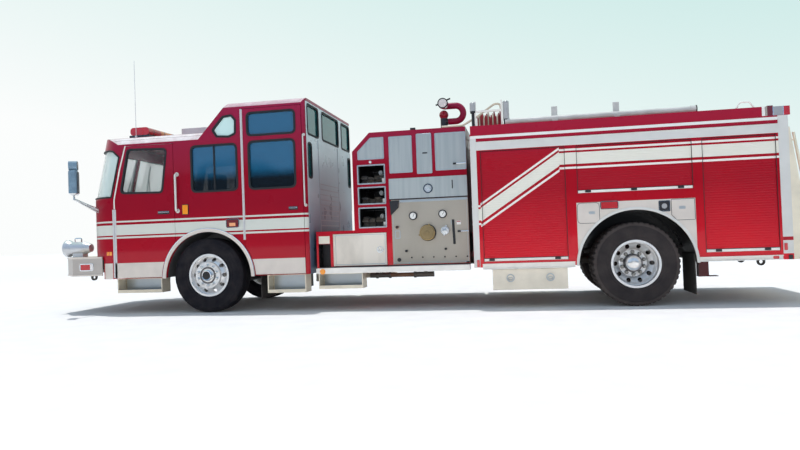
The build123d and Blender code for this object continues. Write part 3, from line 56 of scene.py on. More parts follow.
# Places taken from the frame
AXLE_X = middle("front_axle").x
WHEELBASE = middle("rear_tyres_left").x - AXLE_X
HUB_Z = middle("front_tyre_left").z
CAB_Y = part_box("cab_shell")[1].y
CAB_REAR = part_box("cab_shell")[1].x - AXLE_X
CAB_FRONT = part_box("cab_shell")[0].x - AXLE_X
CAB_TOP = max(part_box("cab_shell")[1].z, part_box("cab_roof")[1].z)
PUMP_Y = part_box("pump_module")[1].y
BODY_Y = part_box("body_shell")[1].y
BODY_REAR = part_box("body_shell")[1].x - AXLE_X


class Nodes:
    """Short names for the nodes that a material or the sky is put together from."""

    def __init__(self, name, owners=bpy.data.materials, place="Object"):
        self.owner = owners.new(name)
        self.owner.use_nodes = True
        self.tree = self.owner.node_tree
        self.shader = self.tree.nodes.get("Principled BSDF")
        self.place = self.tree.nodes.new("ShaderNodeTexCoord").outputs[place]
        split = self.tree.nodes.new("ShaderNodeSeparateXYZ")
        self.link(self.place, split.inputs[0])
        self.x, self.y, self.z = split.outputs

    def link(self, source, target):
        self.tree.links.new(source, target)

    def feed(self, target, value):
        if isinstance(value, bpy.types.NodeSocket):
            self.link(value, target)
        else:
            target.default_value = value

    def math(self, operation, *values, clamp=False):
        node = self.tree.nodes.new("ShaderNodeMath")
        node.operation = operation
        node.use_clamp = clamp
        for target, value in zip(node.inputs, values):
            self.feed(target, value)
        return node.outputs[0]

    times = partialmethod(math, "MULTIPLY")
    plus = partialmethod(math, "ADD")
    less = partialmethod(math, "SUBTRACT")
    over = partialmethod(math, "DIVIDE")
    above = partialmethod(math, "GREATER_THAN")
    below = partialmethod(math, "LESS_THAN")
    size = partialmethod(math, "ABSOLUTE")
    most = partialmethod(math, "MAXIMUM")
    least = partialmethod(math, "MINIMUM")
    power = partialmethod(math, "POWER")
    root = partialmethod(math, "SQRT")
    sine = partialmethod(math, "SINE")
    part = partialmethod(math, "FRACT")

    def within(self, value, low, high):
        """1 where the value lies between the two limits."""
        return self.math("COMPARE", value, (low + high) / 2, (high - low) / 2)

    def along(self, front, rear):
        """1 between two stations."""
        return self.within(self.x, AXLE_X + front, AXLE_X + rear)

    def behind(self, station):
        return self.above(self.x, AXLE_X + station)

    def ahead(self, station):
        return self.below(self.x, AXLE_X + station)

    def inside(self, reach):
        """1 where the middle line is nearer than the reach."""
        return self.below(self.size(self.y), reach)

    def outside(self, reach):
        return self.above(self.size(self.y), reach)

    def ramp(self, value, low, high, start=0.0, end=1.0, kind="LINEAR"):
        node = self.tree.nodes.new("ShaderNodeMapRange")
        node.interpolation_type = kind
        for name, number in (("From Min", low), ("From Max", high), ("To Min", start), ("To Max", end)):
            node.inputs[name].default_value = number
        self.feed(node.inputs["Value"], value)
        return node.outputs[0]

    def mix(self, share, first, second):
        node = self.tree.nodes.new("ShaderNodeMix")
        node.data_type = "RGBA"
        self.feed(node.inputs[0], share)
        for target, value in ((node.inputs[6], first), (node.inputs[7], second)):
            self.feed(target, (*value, 1) if isinstance(value, tuple) else value)
        return node.outputs[2]

    def noise(self, scale, detail=3.0, stretch=(1, 1, 1)):
        mapping = self.tree.nodes.new("ShaderNodeMapping")
        mapping.inputs["Scale"].default_value = stretch
        self.link(self.place, mapping.inputs["Vector"])
        node = self.tree.nodes.new("ShaderNodeTexNoise")
        node.inputs["Scale"].default_value = scale
        node.inputs["Detail"].default_value = detail
        self.link(mapping.outputs[0], node.inputs["Vector"])
        return node.outputs["Fac"]

    def slant(self):
        """Near 0 face on, and 1 where the surface is seen edge on."""
        facing = self.tree.nodes.new("ShaderNodeLayerWeight")
        facing.inputs["Blend"].default_value = 0.5
        return self.power(facing.outputs["Facing"], 4.0)

    def bump(self, height, strength, distance=0.001):
        node = self.tree.nodes.new("ShaderNodeBump")
        node.inputs["Strength"].default_value = strength
        node.inputs["Distance"].default_value = distance
        self.feed(node.inputs["Height"], height)
        self.link(node.outputs[0], self.shader.inputs["Normal"])

    def set(self, **values):
        names = {
            "color": "Base Color", "metal": "Metallic", "rough": "Roughness", "coat": "Coat Weight",
            "coat_rough": "Coat Roughness", "specular": "Specular IOR Level", "sheen": "Sheen Weight",
            "alpha": "Alpha", "glow": "Emission Strength", "glow_color": "Emission Color",
        }
        for key, value in values.items():
            if isinstance(value, tuple) and len(value) == 3:
                value = (*value, 1)
            self.feed(self.shader.inputs[names[key]], value)
        return self.owner


# Colours of the paint and the lining, with lighter low reds as painted ground light, and a bluer high red and pale
# roundings as painted sky reflection
RED = (0.290, 0.0045, 0.018)
# Painted ground light: a lighter red for low down, where light from the ground falls
RED_GROUND_LIT = (0.460, 0.0060, 0.018)
BODY_RED = (0.390, 0.0040, 0.014)
# Painted ground light: a lighter body red for low down
BODY_RED_GROUND_LIT = (0.740, 0.0130, 0.026)
# Painted sky reflection: a bluer red for high up
RED_SKY_REFLECTION = (0.300, 0.0160, 0.080)
BAND = (0.640, 0.660, 0.610)
BAND_LINE = (0.87, 0.83, 0.79)
# Painted sky reflection on the roundings between sides and roof
ROUNDING_SKY_REFLECTION = (0.78, 0.62, 0.66)
GREY_TRIM = (0.10, 0.10, 0.105)
CAB_LINING = (0.020, 0.020, 0.024)
DEEP_BLACK = (0.02, 0.02, 0.022)

# Heights and stations where a colour changes
SILL_Z = 0.5305
HIGH_ROOF_Z = 2.57
MIDSHIP = 2.5
TAIL_LAMP = (7.331, 7.441)


def weathered(n, color, dust=(0.30, 0.24, 0.19), reach=0.9, amount=0.10):
    """Slight unevenness over the colour, with road dust towards the bottom."""
    cloud = n.noise(1.3, 5)
    low = n.ramp(n.z, 0.25, reach, amount, 0.0)
    share = n.times(low, n.ramp(cloud, 0.3, 0.7, 0.3, 1.0))
    return n.mix(share, color, dust)


def paint(name, color, ground_lit_color=None, extra=None):
    """Glossy paint, painted lighter low down as light from the bright ground, and bluer towards the top as a
    painted sky reflection.
    """
    n = Nodes(name)
    # Painted ground light: lighter red low down
    base = n.mix(n.ramp(n.z, 0.5, 1.5), ground_lit_color or color, color)
    # Painted sky reflection: bluer red towards the top
    base = n.mix(n.ramp(n.z, 1.9, 2.9, 0.0, 0.6), base, RED_SKY_REFLECTION)
    tint = n.mix(n.ramp(n.noise(1.4, 3), 0.35, 0.65, 0.0, 0.10), base, (0.20, 0.006, 0.030))
    if extra:
        tint = extra(n, tint)
    n.bump(n.noise(30, 2), 0.015, 0.0004)
    return n.set(color=weathered(n, tint, amount=0.05), rough=n.ramp(n.noise(4, 3), 0.3, 0.7, 0.26, 0.34),
                 specular=0.08, coat=0.40, coat_rough=0.03)


# Level reflective bands: lowest and highest edge
CAB_BANDS = [(1.312, 1.335), (1.130, 1.277), (1.083, 1.109)]
BODY_BANDS = [(1.967, 1.992), (1.797, 1.942), (1.737, 1.763)]
STEP_DOWN = 0.661
STEP_START = 3.830
STEP_END = 4.835


def bands(n, height, rows):
    share = None
    for low, high in rows:
        one = n.within(height, low, high)
        share = one if share is None else n.plus(share, one, clamp=True)
    return share


def sky_reflected_rounding(n, base, low, high):
    """Painted sky reflection: pale colour along the roundings between sides and roof, between two heights, where
    they lean up towards the sky.
    """
    facing = n.tree.nodes.new("ShaderNodeNewGeometry")
    split = n.tree.nodes.new("ShaderNodeSeparateXYZ")
    n.link(facing.outputs["Normal"], split.inputs[0])
    leaning = n.within(split.outputs[2], 0.22, 0.93)
    share = n.times(leaning, n.within(n.z, low, high))
    share = n.times(share, n.ramp(n.noise(5, 4), 0.3, 0.6, 0.55, 0.9))
    return n.mix(share, base, n.mix(n.below(n.z, HIGH_ROOF_Z), ROUNDING_SKY_REFLECTION, (0.95, 0.92, 0.92)))


def cab_scheme(n, base):
    outer = bands(n, n.z, CAB_BANDS)
    # Painted sky reflection on the roof roundings
    painted = n.mix(outer, sky_reflected_rounding(n, base, 2.43, 2.93), BAND)
    # The cab's back face: painted shade, darker and bluer low down and paler towards the top
    rear = n.times(n.behind(CAB_REAR - 0.006), n.below(n.z, CAB_TOP - 0.045))
    hinge = n.outside(CAB_Y + 0.0015)
    n.set(metal=n.most(n.times(rear, 0.3), n.times(hinge, 0.2)))
    painted = n.mix(rear, painted, n.mix(n.ramp(n.z, 0.95, 1.60), (0.13, 0.21, 0.31), (0.62, 0.74, 0.77)))
    painted = n.mix(hinge, painted, (0.66, 0.66, 0.67))
    inside = n.times(n.within(n.y, -CAB_Y + 0.03, CAB_Y - 0.03), n.along(-1.38, CAB_REAR - 0.03))
    ceiling = n.times(n.within(n.y, -CAB_Y + 0.15, CAB_Y - 0.15), n.within(n.z, 2.48, 2.508))
    ceiling = n.times(ceiling, n.along(-1.25, 0))
    inside = n.most(n.times(inside, n.within(n.z, 0.9, 2.49)), ceiling)
    return n.mix(inside, painted, CAB_LINING)


BODY_CREAM = (0.80, 0.78, 0.70)
ARCH_PLACE = (5.720, 0.502, 0.704)


def body_scheme(n, base):
    """Bands that run level along the body and step down to the front at a slant."""
    drop = n.ramp(n.x, AXLE_X + STEP_START, AXLE_X + STEP_END, STEP_DOWN, 0.0)
    middle_z = sum(BODY_BANDS[1]) / 2
    slant = cos(atan2(STEP_DOWN, STEP_END - STEP_START))
    height = n.less(n.plus(n.z, drop), middle_z)
    on_slant = n.along(STEP_START, STEP_END)
    height = n.times(height, n.less(1.0, n.times(on_slant, 1 - slant)))
    rows = [(low - middle_z, high - middle_z) for low, high in BODY_BANDS]
    side = n.outside(BODY_Y - 0.06)
    wide = n.times(bands(n, height, rows[1:2]), side)
    thin = n.times(bands(n, height, rows[:1] + rows[2:]), side)
    painted = n.mix(thin, n.mix(wide, base, BODY_CREAM), BAND_LINE)
    x, z, radius = ARCH_PLACE
    ahead = n.power(n.size(n.less(n.x, AXLE_X + x)), 2.0)
    above = n.power(n.size(n.less(n.z, z)), 2.0)
    well = n.below(n.plus(ahead, above), radius ** 2)
    well = n.most(well, n.below(n.z, SILL_Z))
    well = n.times(well, n.inside(BODY_Y - 0.001))
    bracket = n.times(n.along(6.450, 6.690), n.below(n.z, SILL_Z))
    return n.mix(well, painted, n.mix(bracket, (0.012, 0.011, 0.011), (0.085, 0.010, 0.014)))


def module_shade_scheme(n, base):
    """Painted shade: near black inside the recess and the bins, and on the face towards the body, where shade
    falls.
    """
    # Painted shade in the recess, in the bins and on the back face
    inside = n.times(n.along(1.48, 1.745), n.below(n.z, 0.900))
    bins = n.times(n.along(2.160, 2.550), n.within(n.z, 1.095, 1.960))
    inside = n.most(inside, n.most(bins, n.behind(3.640)))
    inside = n.times(inside, n.inside(PUMP_Y - 0.002))
    return n.mix(inside, base, (0.012, 0.012, 0.013))


def brushed(name, color, rough=0.28, along=(1, 1, 60), stain=(0.42, 0.36, 0.28), amount=0.15):
    """Brushed sheet metal with faint stains."""
    n = Nodes(name)
    grain = n.noise(9, 3, along)
    dull = n.mix(n.ramp(n.noise(3.5, 6), 0.45, 0.75, 0.0, amount), color, stain)
    n.bump(grain, 0.06, 0.0005)
    return n.set(color=weathered(n, dull), metal=0.85, rough=n.ramp(grain, 0.3, 0.7, rough - 0.06, rough + 0.10))


def tread_plate(name, color, pitch=0.034):
    """Aluminium sheet with raised lozenges that lie in turn along two diagonals."""
    n = Nodes(name)
    height = None
    across_x = n.plus(n.x, n.y)
    across_z = n.plus(n.z, n.times(n.y, 0.5))
    for offset, sign in ((0.0, 1), (0.5, -1)):
        cell = []
        for value in (across_x, across_z):
            share = n.part(n.plus(n.over(value, pitch), offset))
            cell.append(n.less(share, 0.5))
        along = n.size(n.plus(cell[0], n.times(cell[1], sign)))
        wide = n.size(n.less(cell[0], n.times(cell[1], sign)))
        sides = n.plus(n.times(along, 1.9), n.times(wide, 7.0))
        lozenge = n.less(1.0, sides, clamp=True)
        height = lozenge if height is None else n.most(height, lozenge)
    n.bump(height, 0.8, 0.0025)
    shade = n.mix(n.ramp(n.noise(4, 5), 0.4, 0.7, 0, 0.25), color, (0.35, 0.32, 0.28))
    return n.set(color=weathered(n, shade, amount=0.3), metal=0.35, rough=n.ramp(height, 0.0, 0.5, 0.42, 0.28))


def plain(name, color, rough, metal=0.0, coat=0.0, grain=40, depth=0.05, vary=0.12, dust=0.12, **more):
    """A surface with its own fine grain and slight changes of colour."""
    n = Nodes(name)
    darker = tuple(c * (1 - vary) for c in color)
    shade = n.mix(n.ramp(n.noise(5, 4), 0.35, 0.65), darker, color)
    n.bump(n.noise(grain, 3), depth, 0.001)
    rough_map = n.ramp(n.noise(grain / 3, 3), 0.3, 0.7, max(rough - 0.04, 0.02), rough + 0.05)
    return n.set(color=weathered(n, shade, amount=dust), metal=metal, rough=rough_map, coat=coat, **more)


def sky_reflection_tint(n):
    """Painted sky reflection: glass near black along its lower edge and sky blue above."""
    return n.mix(n.ramp(n.z, 1.84, 1.97), (0.003, 0.007, 0.012), (0.006, 0.105, 0.220))


def window(name, tint, cover):
    """Flat glass: mirror-like at a slant, darker and see-through face on."""
    n = Nodes(name)
    # Painted sky reflection where no tint is given
    tint = tint or sky_reflection_tint(n)
    alpha = n.ramp(n.slant(), 0.0, 1.0, cover, 1.0)
    smear = n.ramp(n.noise(3, 4), 0.4, 0.7, 0.02, 0.05)
    return n.set(color=tint, rough=smear, coat=1.0, coat_rough=0.02, specular=1.0, alpha=alpha)


def cab_panes():
    """The cab's own glass: clear in the windscreen, dark in the panes at the sides and the back, with a painted sky
    reflection in the side panes, and the corner panes painted pale like the bright sky they show.
    """
    n = Nodes("cab_panes")
    dark = n.behind(-0.25)
    alpha = n.most(n.ramp(dark, 0.0, 1.0, 0.45, 0.84), n.slant())
    rear = n.behind(CAB_REAR - 0.06)
    # Painted light: the corner panes are painted pale like the bright sky they show
    corner = n.times(n.along(0.10, 0.53), n.above(n.z, 2.40))
    shade = n.mix(corner, n.mix(rear, sky_reflection_tint(n), (0.005, 0.160, 0.160)), (0.72, 0.96, 0.92))
    smear = n.ramp(n.noise(3, 4), 0.4, 0.7, 0.02, 0.05)
    return n.set(color=n.mix(dark, (0.82, 0.99, 0.96), shade), rough=smear, coat_rough=0.02,
                 coat=n.ramp(rear, 0.0, 1.0, 1.0, 0.4), specular=n.ramp(rear, 0.0, 1.0, 1.0, 0.5), alpha=alpha)


def ribbed(n, along, depth=0.25):
    """Fine ribs in the glass of a lamp."""
    ribs = n.ramp(n.sine(n.times(along, 2 * pi / 0.012)), -1, 1)
    n.bump(ribs, depth, 0.001)
    return ribs


def glassy(n, shade, **more):
    return n.set(color=shade, rough=n.ramp(n.noise(8), 0.3, 0.7, 0.10, 0.18), coat=1.0, **more)


def lens(name, color, glow=0.0):
    """Ribbed coloured plastic over a lamp."""
    n = Nodes(name)
    shade = n.mix(ribbed(n, n.x), tuple(c * 0.7 for c in color), color)
    return glassy(n, shade, glow_color=color, glow=glow)


def from_hub(n):
    """Distance from the nearest axle's middle, seen from the side."""
    ahead = n.least(n.size(n.less(n.x, AXLE_X)), n.size(n.less(n.x, AXLE_X + WHEELBASE)))
    height = n.size(n.less(n.z, HUB_Z))
    return n.root(n.plus(n.power(ahead, 2.0), n.power(height, 2.0)))


def tyre_rubber():
    n = Nodes("tyre_rubber")
    dusty = n.ramp(n.noise(7, 5), 0.35, 0.75, 0.0, 0.28)
    rear = n.behind(MIDSHIP)
    dusty = n.plus(dusty, n.times(rear, 0.35), clamp=True)
    shoulder = n.times(n.within(from_hub(n), 0.474, 0.522), rear)
    dusty = n.plus(dusty, n.times(shoulder, 0.35), clamp=True)
    shade = n.mix(dusty, (0.010, 0.010, 0.014), (0.075, 0.062, 0.058))
    n.bump(n.noise(120, 3), 0.12, 0.0008)
    return n.set(color=shade, rough=n.ramp(n.noise(9, 4), 0.3, 0.7, 0.62, 0.85), specular=0.12)


def woven(name, color, other, pitch):
    """Woven hose jacket, with its folds in two colours."""
    n = Nodes(name)
    weave = n.times(n.sine(n.times(n.y, 2 * pi / pitch)), n.sine(n.times(n.z, 2 * pi / pitch)))
    n.bump(n.ramp(weave, -1, 1), 0.4, 0.001)
    shade = n.mix(n.ramp(n.noise(9, 3), 0.4, 0.6, 0, 1), color, other)
    return n.set(color=shade, rough=n.ramp(n.noise(20), 0.3, 0.7, 0.8, 0.95), sheen=0.2)


def bar_lens():
    """Light bar: red domes with an amber stretch each side, on a black base."""
    n = Nodes("bar_lens")
    wide = n.size(n.y)
    shade = n.mix(n.within(wide, 0.25, 0.55), (0.55, 0.012, 0.02), (0.80, 0.22, 0.02))
    joints = n.within(n.part(n.over(n.y, 0.30)), 0.47, 0.53)
    shade = n.mix(joints, shade, (0.02, 0.02, 0.02))
    shade = n.mix(n.below(n.z, 2.602), shade, DEEP_BLACK)
    ribbed(n, n.y, 0.2)
    return glassy(n, shade)


def lamp_lens():
    """Lamps on flat faces: pale at the nose, red elsewhere."""
    n = Nodes("lamp_lens")
    nose_side = n.times(n.ahead(CAB_FRONT + 0.002), n.inside(1.0))
    shade = n.mix(nose_side, (0.50, 0.008, 0.015), (0.35, 0.36, 0.37))
    high = n.above(n.z, 2.20)
    shade = n.mix(n.times(high, n.ahead(TAIL_LAMP[0])), shade, (0.14, 0.006, 0.012))
    clear_end = n.along(*TAIL_LAMP)
    shade = n.mix(n.times(high, clear_end), shade, (0.34, 0.34, 0.36))
    turn_lamp = n.times(n.within(n.z, 1.10, 1.32), n.along(0.300, 0.520))
    shade = n.mix(turn_lamp, shade, (0.16, 0.012, 0.016))
    lit = n.times(n.within(n.z, 1.195, 1.240), n.along(0.372, 0.462))
    shade = n.mix(lit, shade, (0.95, 0.42, 0.20))
    ribbed(n, n.z)
    return glassy(n, shade)


def pump_steel():
    """Side panels of the pump: cool grey at the top as a painted sky reflection, and warm grey below."""
    n = Nodes("pump_steel")
    grain = n.noise(9, 3, (1, 1, 40))
    # Painted sky reflection above the ledge
    sky_reflected = n.ramp(n.z, 1.462, 1.470)
    locker = n.ahead(2.56)
    shade = n.mix(sky_reflected, n.mix(locker, (0.46, 0.41, 0.34), (0.88, 0.79, 0.68)), (0.47, 0.50, 0.49))
    stains = n.times(n.ramp(n.noise(3.2, 6, (1, 1, 0.4)), 0.45, 0.75, 0.0, 0.5), n.less(1.0, sky_reflected))
    streaks = n.times(n.ramp(n.noise(3.0, 4, (7, 7, 0.25)), 0.42, 0.62, 0.0, 0.45), sky_reflected)
    shade = n.mix(streaks, shade, (0.34, 0.38, 0.39))
    n.bump(grain, 0.05, 0.0005)
    shade = n.mix(stains, shade, (0.36, 0.31, 0.25))
    return n.set(color=shade, metal=0.5, rough=n.ramp(grain, 0.3, 0.7, 0.34, 0.46))


# Metals of the pump's fittings, columns: station, height, reach round it, colour
FITTING_METALS = [
    (3.106, 1.005, 0.112, (0.50, 0.33, 0.14)), (2.693, 1.092, 0.024, (0.34, 0.12, 0.07)),
    (3.340, 1.023, 0.060, (0.66, 0.66, 0.66)), (3.131, 1.594, 0.080, (0.66, 0.67, 0.68)),
    (2.705, 0.653, 0.030, (0.05, 0.05, 0.055)),
]


def fitting_metal():
    """Brass, copper and steel fittings side by side, and black gauges and knobs."""
    n = Nodes("fitting_metal")
    shade, bright = DEEP_BLACK, None
    for x, z, reach, color in FITTING_METALS:
        near = n.times(n.along(x - reach, x + reach), n.within(n.z, z - reach, z + reach))
        shade = n.mix(near, shade, color)
        bright = near if bright is None else n.most(bright, near)
    shade = n.mix(n.ramp(n.noise(18, 4), 0.4, 0.7, 0.0, 0.3), shade, (0.16, 0.11, 0.06))
    n.bump(n.noise(60, 3), 0.06, 0.0008)
    return n.set(color=shade, metal=n.times(bright, 0.85), rough=n.ramp(n.noise(30), 0.3, 0.7, 0.28, 0.40))


def turned_alloy():
    """Machined wheels: fine rings on the faces, a bright hub cap, and a rusty drum inside."""
    n = Nodes("turned_alloy")
    reach = from_hub(n)
    rings = n.sine(n.times(reach, 2 * pi / 0.007))
    grime = n.times(n.ramp(n.noise(14, 5), 0.4, 0.7, 0.0, 0.55), n.ramp(reach, 0.10, 0.27, 1.0, 0.35))
    shade = n.mix(grime, (0.88, 0.86, 0.84), (0.50, 0.46, 0.42))
    shade = n.mix(n.within(reach, 0.094, 0.118), shade, (0.12, 0.11, 0.11))
    inner = n.inside(0.85)
    shade = n.mix(n.times(inner, n.below(reach, 0.24)), shade, (0.10, 0.06, 0.045))
    n.bump(n.ramp(rings, -1, 1), 0.10, 0.0006)
    rough = n.mix(n.below(reach, 0.094), (0.36, 0.36, 0.36), (0.07, 0.07, 0.07))
    return n.set(color=shade, metal=0.7, rough=rough)


def mirror_shell():
    """Grey-blue mirror heads on bright arms."""
    n = Nodes("mirror_shell")
    head = n.times(n.above(n.z, 1.742), n.ahead(-1.745))
    blue = n.mix(n.ramp(n.noise(9, 4), 0.3, 0.7), (0.14, 0.22, 0.30), (0.20, 0.31, 0.41))
    shade = n.mix(head, (0.74, 0.75, 0.76), blue)
    n.bump(n.noise(60, 3), 0.04, 0.0006)
    return n.set(color=shade, metal=n.less(0.9, n.times(head, 0.9)),
                 rough=n.ramp(n.noise(12), 0.3, 0.7, 0.22, 0.34))


def chassis_paint():
    """Black running gear under road dirt."""
    n = Nodes("chassis_black")
    shade = n.mix(n.ramp(n.noise(5, 4), 0.35, 0.65), (0.018, 0.018, 0.018), (0.024, 0.022, 0.022))
    n.bump(n.noise(60, 3), 0.2, 0.001)
    return n.set(color=weathered(n, shade, amount=0.35), rough=n.ramp(n.noise(20, 3), 0.3, 0.7, 0.50, 0.62))


def monitor_base():
    """Black foot with a red ball above it."""
    n = Nodes("monitor_base")
    shade = n.mix(n.above(n.z, 2.690), DEEP_BLACK, RED)
    n.bump(n.noise(70, 3), 0.06, 0.001)
    return n.set(color=shade, rough=n.ramp(n.noise(12), 0.3, 0.7, 0.32, 0.45), coat=0.3)


def pairs(*names):
    """The left and the right node of each name."""
    return [f"{name}_{side}" for name in names for side in ("left", "right")]


# Looks, columns: material, a slot name that is stored but given to no piece here, nodes that carry it
LOOKS = [
    (paint("cab_paint", RED, RED_GROUND_LIT, cab_scheme), "red_paint",
     ["cab_shell", "cab_roof", *pairs("front_door", "crew_door")]),
    (paint("body_paint", BODY_RED, BODY_RED_GROUND_LIT, body_scheme), "red_paint", ["body_shell", "roll_up_shutters"]),
    (paint("red_paint", RED, RED_GROUND_LIT), "red_paint", ["monitor_barrel"]),
    (plain("white_paint", (0.88, 0.85, 0.80), 0.35, coat=0.4, grain=25, depth=0.03), "white_paint",
     ["running_boards", "top_rack"]),
    (paint("module_paint", RED, BODY_RED_GROUND_LIT, module_shade_scheme), None, ["pump_module"]),
    (brushed("stainless", (0.70, 0.69, 0.65)), "stainless", []),
    (plain("box_alloy", (0.86, 0.79, 0.66), 0.45, metal=0.10, grain=30), "stainless",
     ["under_boxes", *pairs("drop_door")]),
    (plain("nut_steel", (0.34, 0.32, 0.29), 0.28, metal=0.9, grain=60, dust=0.0), "engine_metal", []),
    (mirror_shell(), None, ["mirrors"]),
    (brushed("panel_steel", (0.50, 0.54, 0.56), 0.34, (1, 1, 40)), "stainless", []),
    (tread_plate("tread_plate", (0.92, 0.82, 0.64)), "tread_plate", ["steps", "tailboard"]),
    (brushed("alloy", (0.78, 0.78, 0.77), 0.22, (1, 30, 1), amount=0.06), "polished_alloy", []),
    (plain("chrome", (0.80, 0.81, 0.83), 0.08, metal=1.0, grain=12, depth=0.02, vary=0.05, dust=0.05),
     "chrome_bright", ["grille"]),
    (plain("brass", (0.42, 0.30, 0.15), 0.34, metal=0.9, grain=60, vary=0.3), "brass_worn", []),
    (chassis_paint(), "chassis_black",
     ["chassis_frame", "leaf_springs", "front_axle", "rear_axle", "fuel_tank", "tie_rod", *pairs("knuckle")]),
    (plain("black_plastic", (0.016, 0.016, 0.018), 0.45, grain=160, depth=0.1, vary=0.3), "black_metal", []),
    (plain("gasket", (0.012, 0.012, 0.014), 0.6, grain=200, depth=0.1, vary=0.3), "rubber_black", []),
    (plain("rubber_flap", (0.022, 0.020, 0.019), 0.8, grain=90, depth=0.2, vary=0.3, dust=0.15), None,
     ["mud_flaps"]),
    (tyre_rubber(), "tyre", pairs("front_tyre", "rear_tyres")),
    (window("clear_glass", (0.78, 0.90, 0.89), 0.03), None, pairs("front_glass")),
    (window("dark_glass", None, 0.84), None, pairs("crew_glass")),
    (cab_panes(), None, ["cab_glass"]),
    (lens("red_lens", (0.55, 0.012, 0.02), 0.15), "red_lens", []),
    (bar_lens(), None, ["light_bar"]),
    (lamp_lens(), None, ["lamps"]),
    (monitor_base(), None, ["monitor_swivel"]),
    (pump_steel(), "stainless", ["pump_panels", *pairs("locker_door")]),
    (fitting_metal(), None, ["pump_fittings"]),
    (turned_alloy(), None, pairs("front_rim", "rear_rims")),
    (woven("red_hose", (0.20, 0.010, 0.020), (0.30, 0.02, 0.03), 0.005), "hose_jacket", []),
    (plain("rust", (0.16, 0.075, 0.040), 0.75, grain=25, depth=0.3, vary=0.5), "chassis_black", []),
    (plain("pale_tube", (0.62, 0.55, 0.44), 0.45, grain=30), "pale_plastic", []),
    (lens("amber_lens", (0.85, 0.30, 0.02), 0.2), "red_lens", []),
    (lens("clear_lens", (0.75, 0.77, 0.78), 0.05), "glass", []),
    (plain("grey_trim", GREY_TRIM, 0.7, grain=220, depth=0.2), None, ["cab_floor", "dashboard"]),
    (woven("seat_fabric", (0.030, 0.032, 0.038), (0.05, 0.05, 0.055), 0.008), None, ["seats"]),
    (woven("dark_jacket", (0.030, 0.030, 0.034), (0.10, 0.085, 0.07), 0.005), "hose_jacket", []),
    (woven("hose_jacket", (0.55, 0.50, 0.42), (0.30, 0.26, 0.20), 0.005), "hose_jacket", ["hose_loads"]),
    (plain("pale_shell", (0.66, 0.69, 0.72), 0.4, coat=0.2, grain=30), None, ["roof_fittings"]),
    (plain("engine", (0.06, 0.06, 0.065), 0.55, grain=30, depth=0.4, dust=0.4), None, ["engine_block"]),
    (plain("white_face", (0.82, 0.82, 0.80), 0.5, grain=100, depth=0.02, vary=0.03, dust=0.0), "pale_plastic", []),
    (plain("suction_shell", (0.60, 0.61, 0.60), 0.45, depth=0.08, vary=0.2), "pale_plastic", ["suction_hose"]),
    (plain("body_post", (0.72, 0.71, 0.68), 0.35, metal=0.15, grain=30, depth=0.04, vary=0.06), "white_paint", []),
    (plain("fender_alloy", (0.76, 0.68, 0.61), 0.38, metal=0.30, grain=30, vary=0.08), "stainless",
     ["fender_panels"]),
    (plain("bumper_alloy", (0.52, 0.47, 0.43), 0.38, metal=0.30, grain=30, vary=0.08), None, ["front_bumper"]),
    (plain("siren_alloy", (0.66, 0.67, 0.69), 0.36, metal=0.6, grain=30, depth=0.04), None, ["siren"]),
    (plain("lamp_grey", (0.40, 0.41, 0.42), 0.25, depth=0.04, coat=0.5), "pale_plastic", []),
]
MATERIALS = {}
for material, slot, nodes in LOOKS:
    # Where the frame has a material of the same name, Blender ends this one's name in a number
    MATERIALS[material.name.split(".")[0]] = (material, slot)
    for node in nodes:
        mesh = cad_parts[node].data
        mesh.materials.clear()
        mesh.materials.append(material)


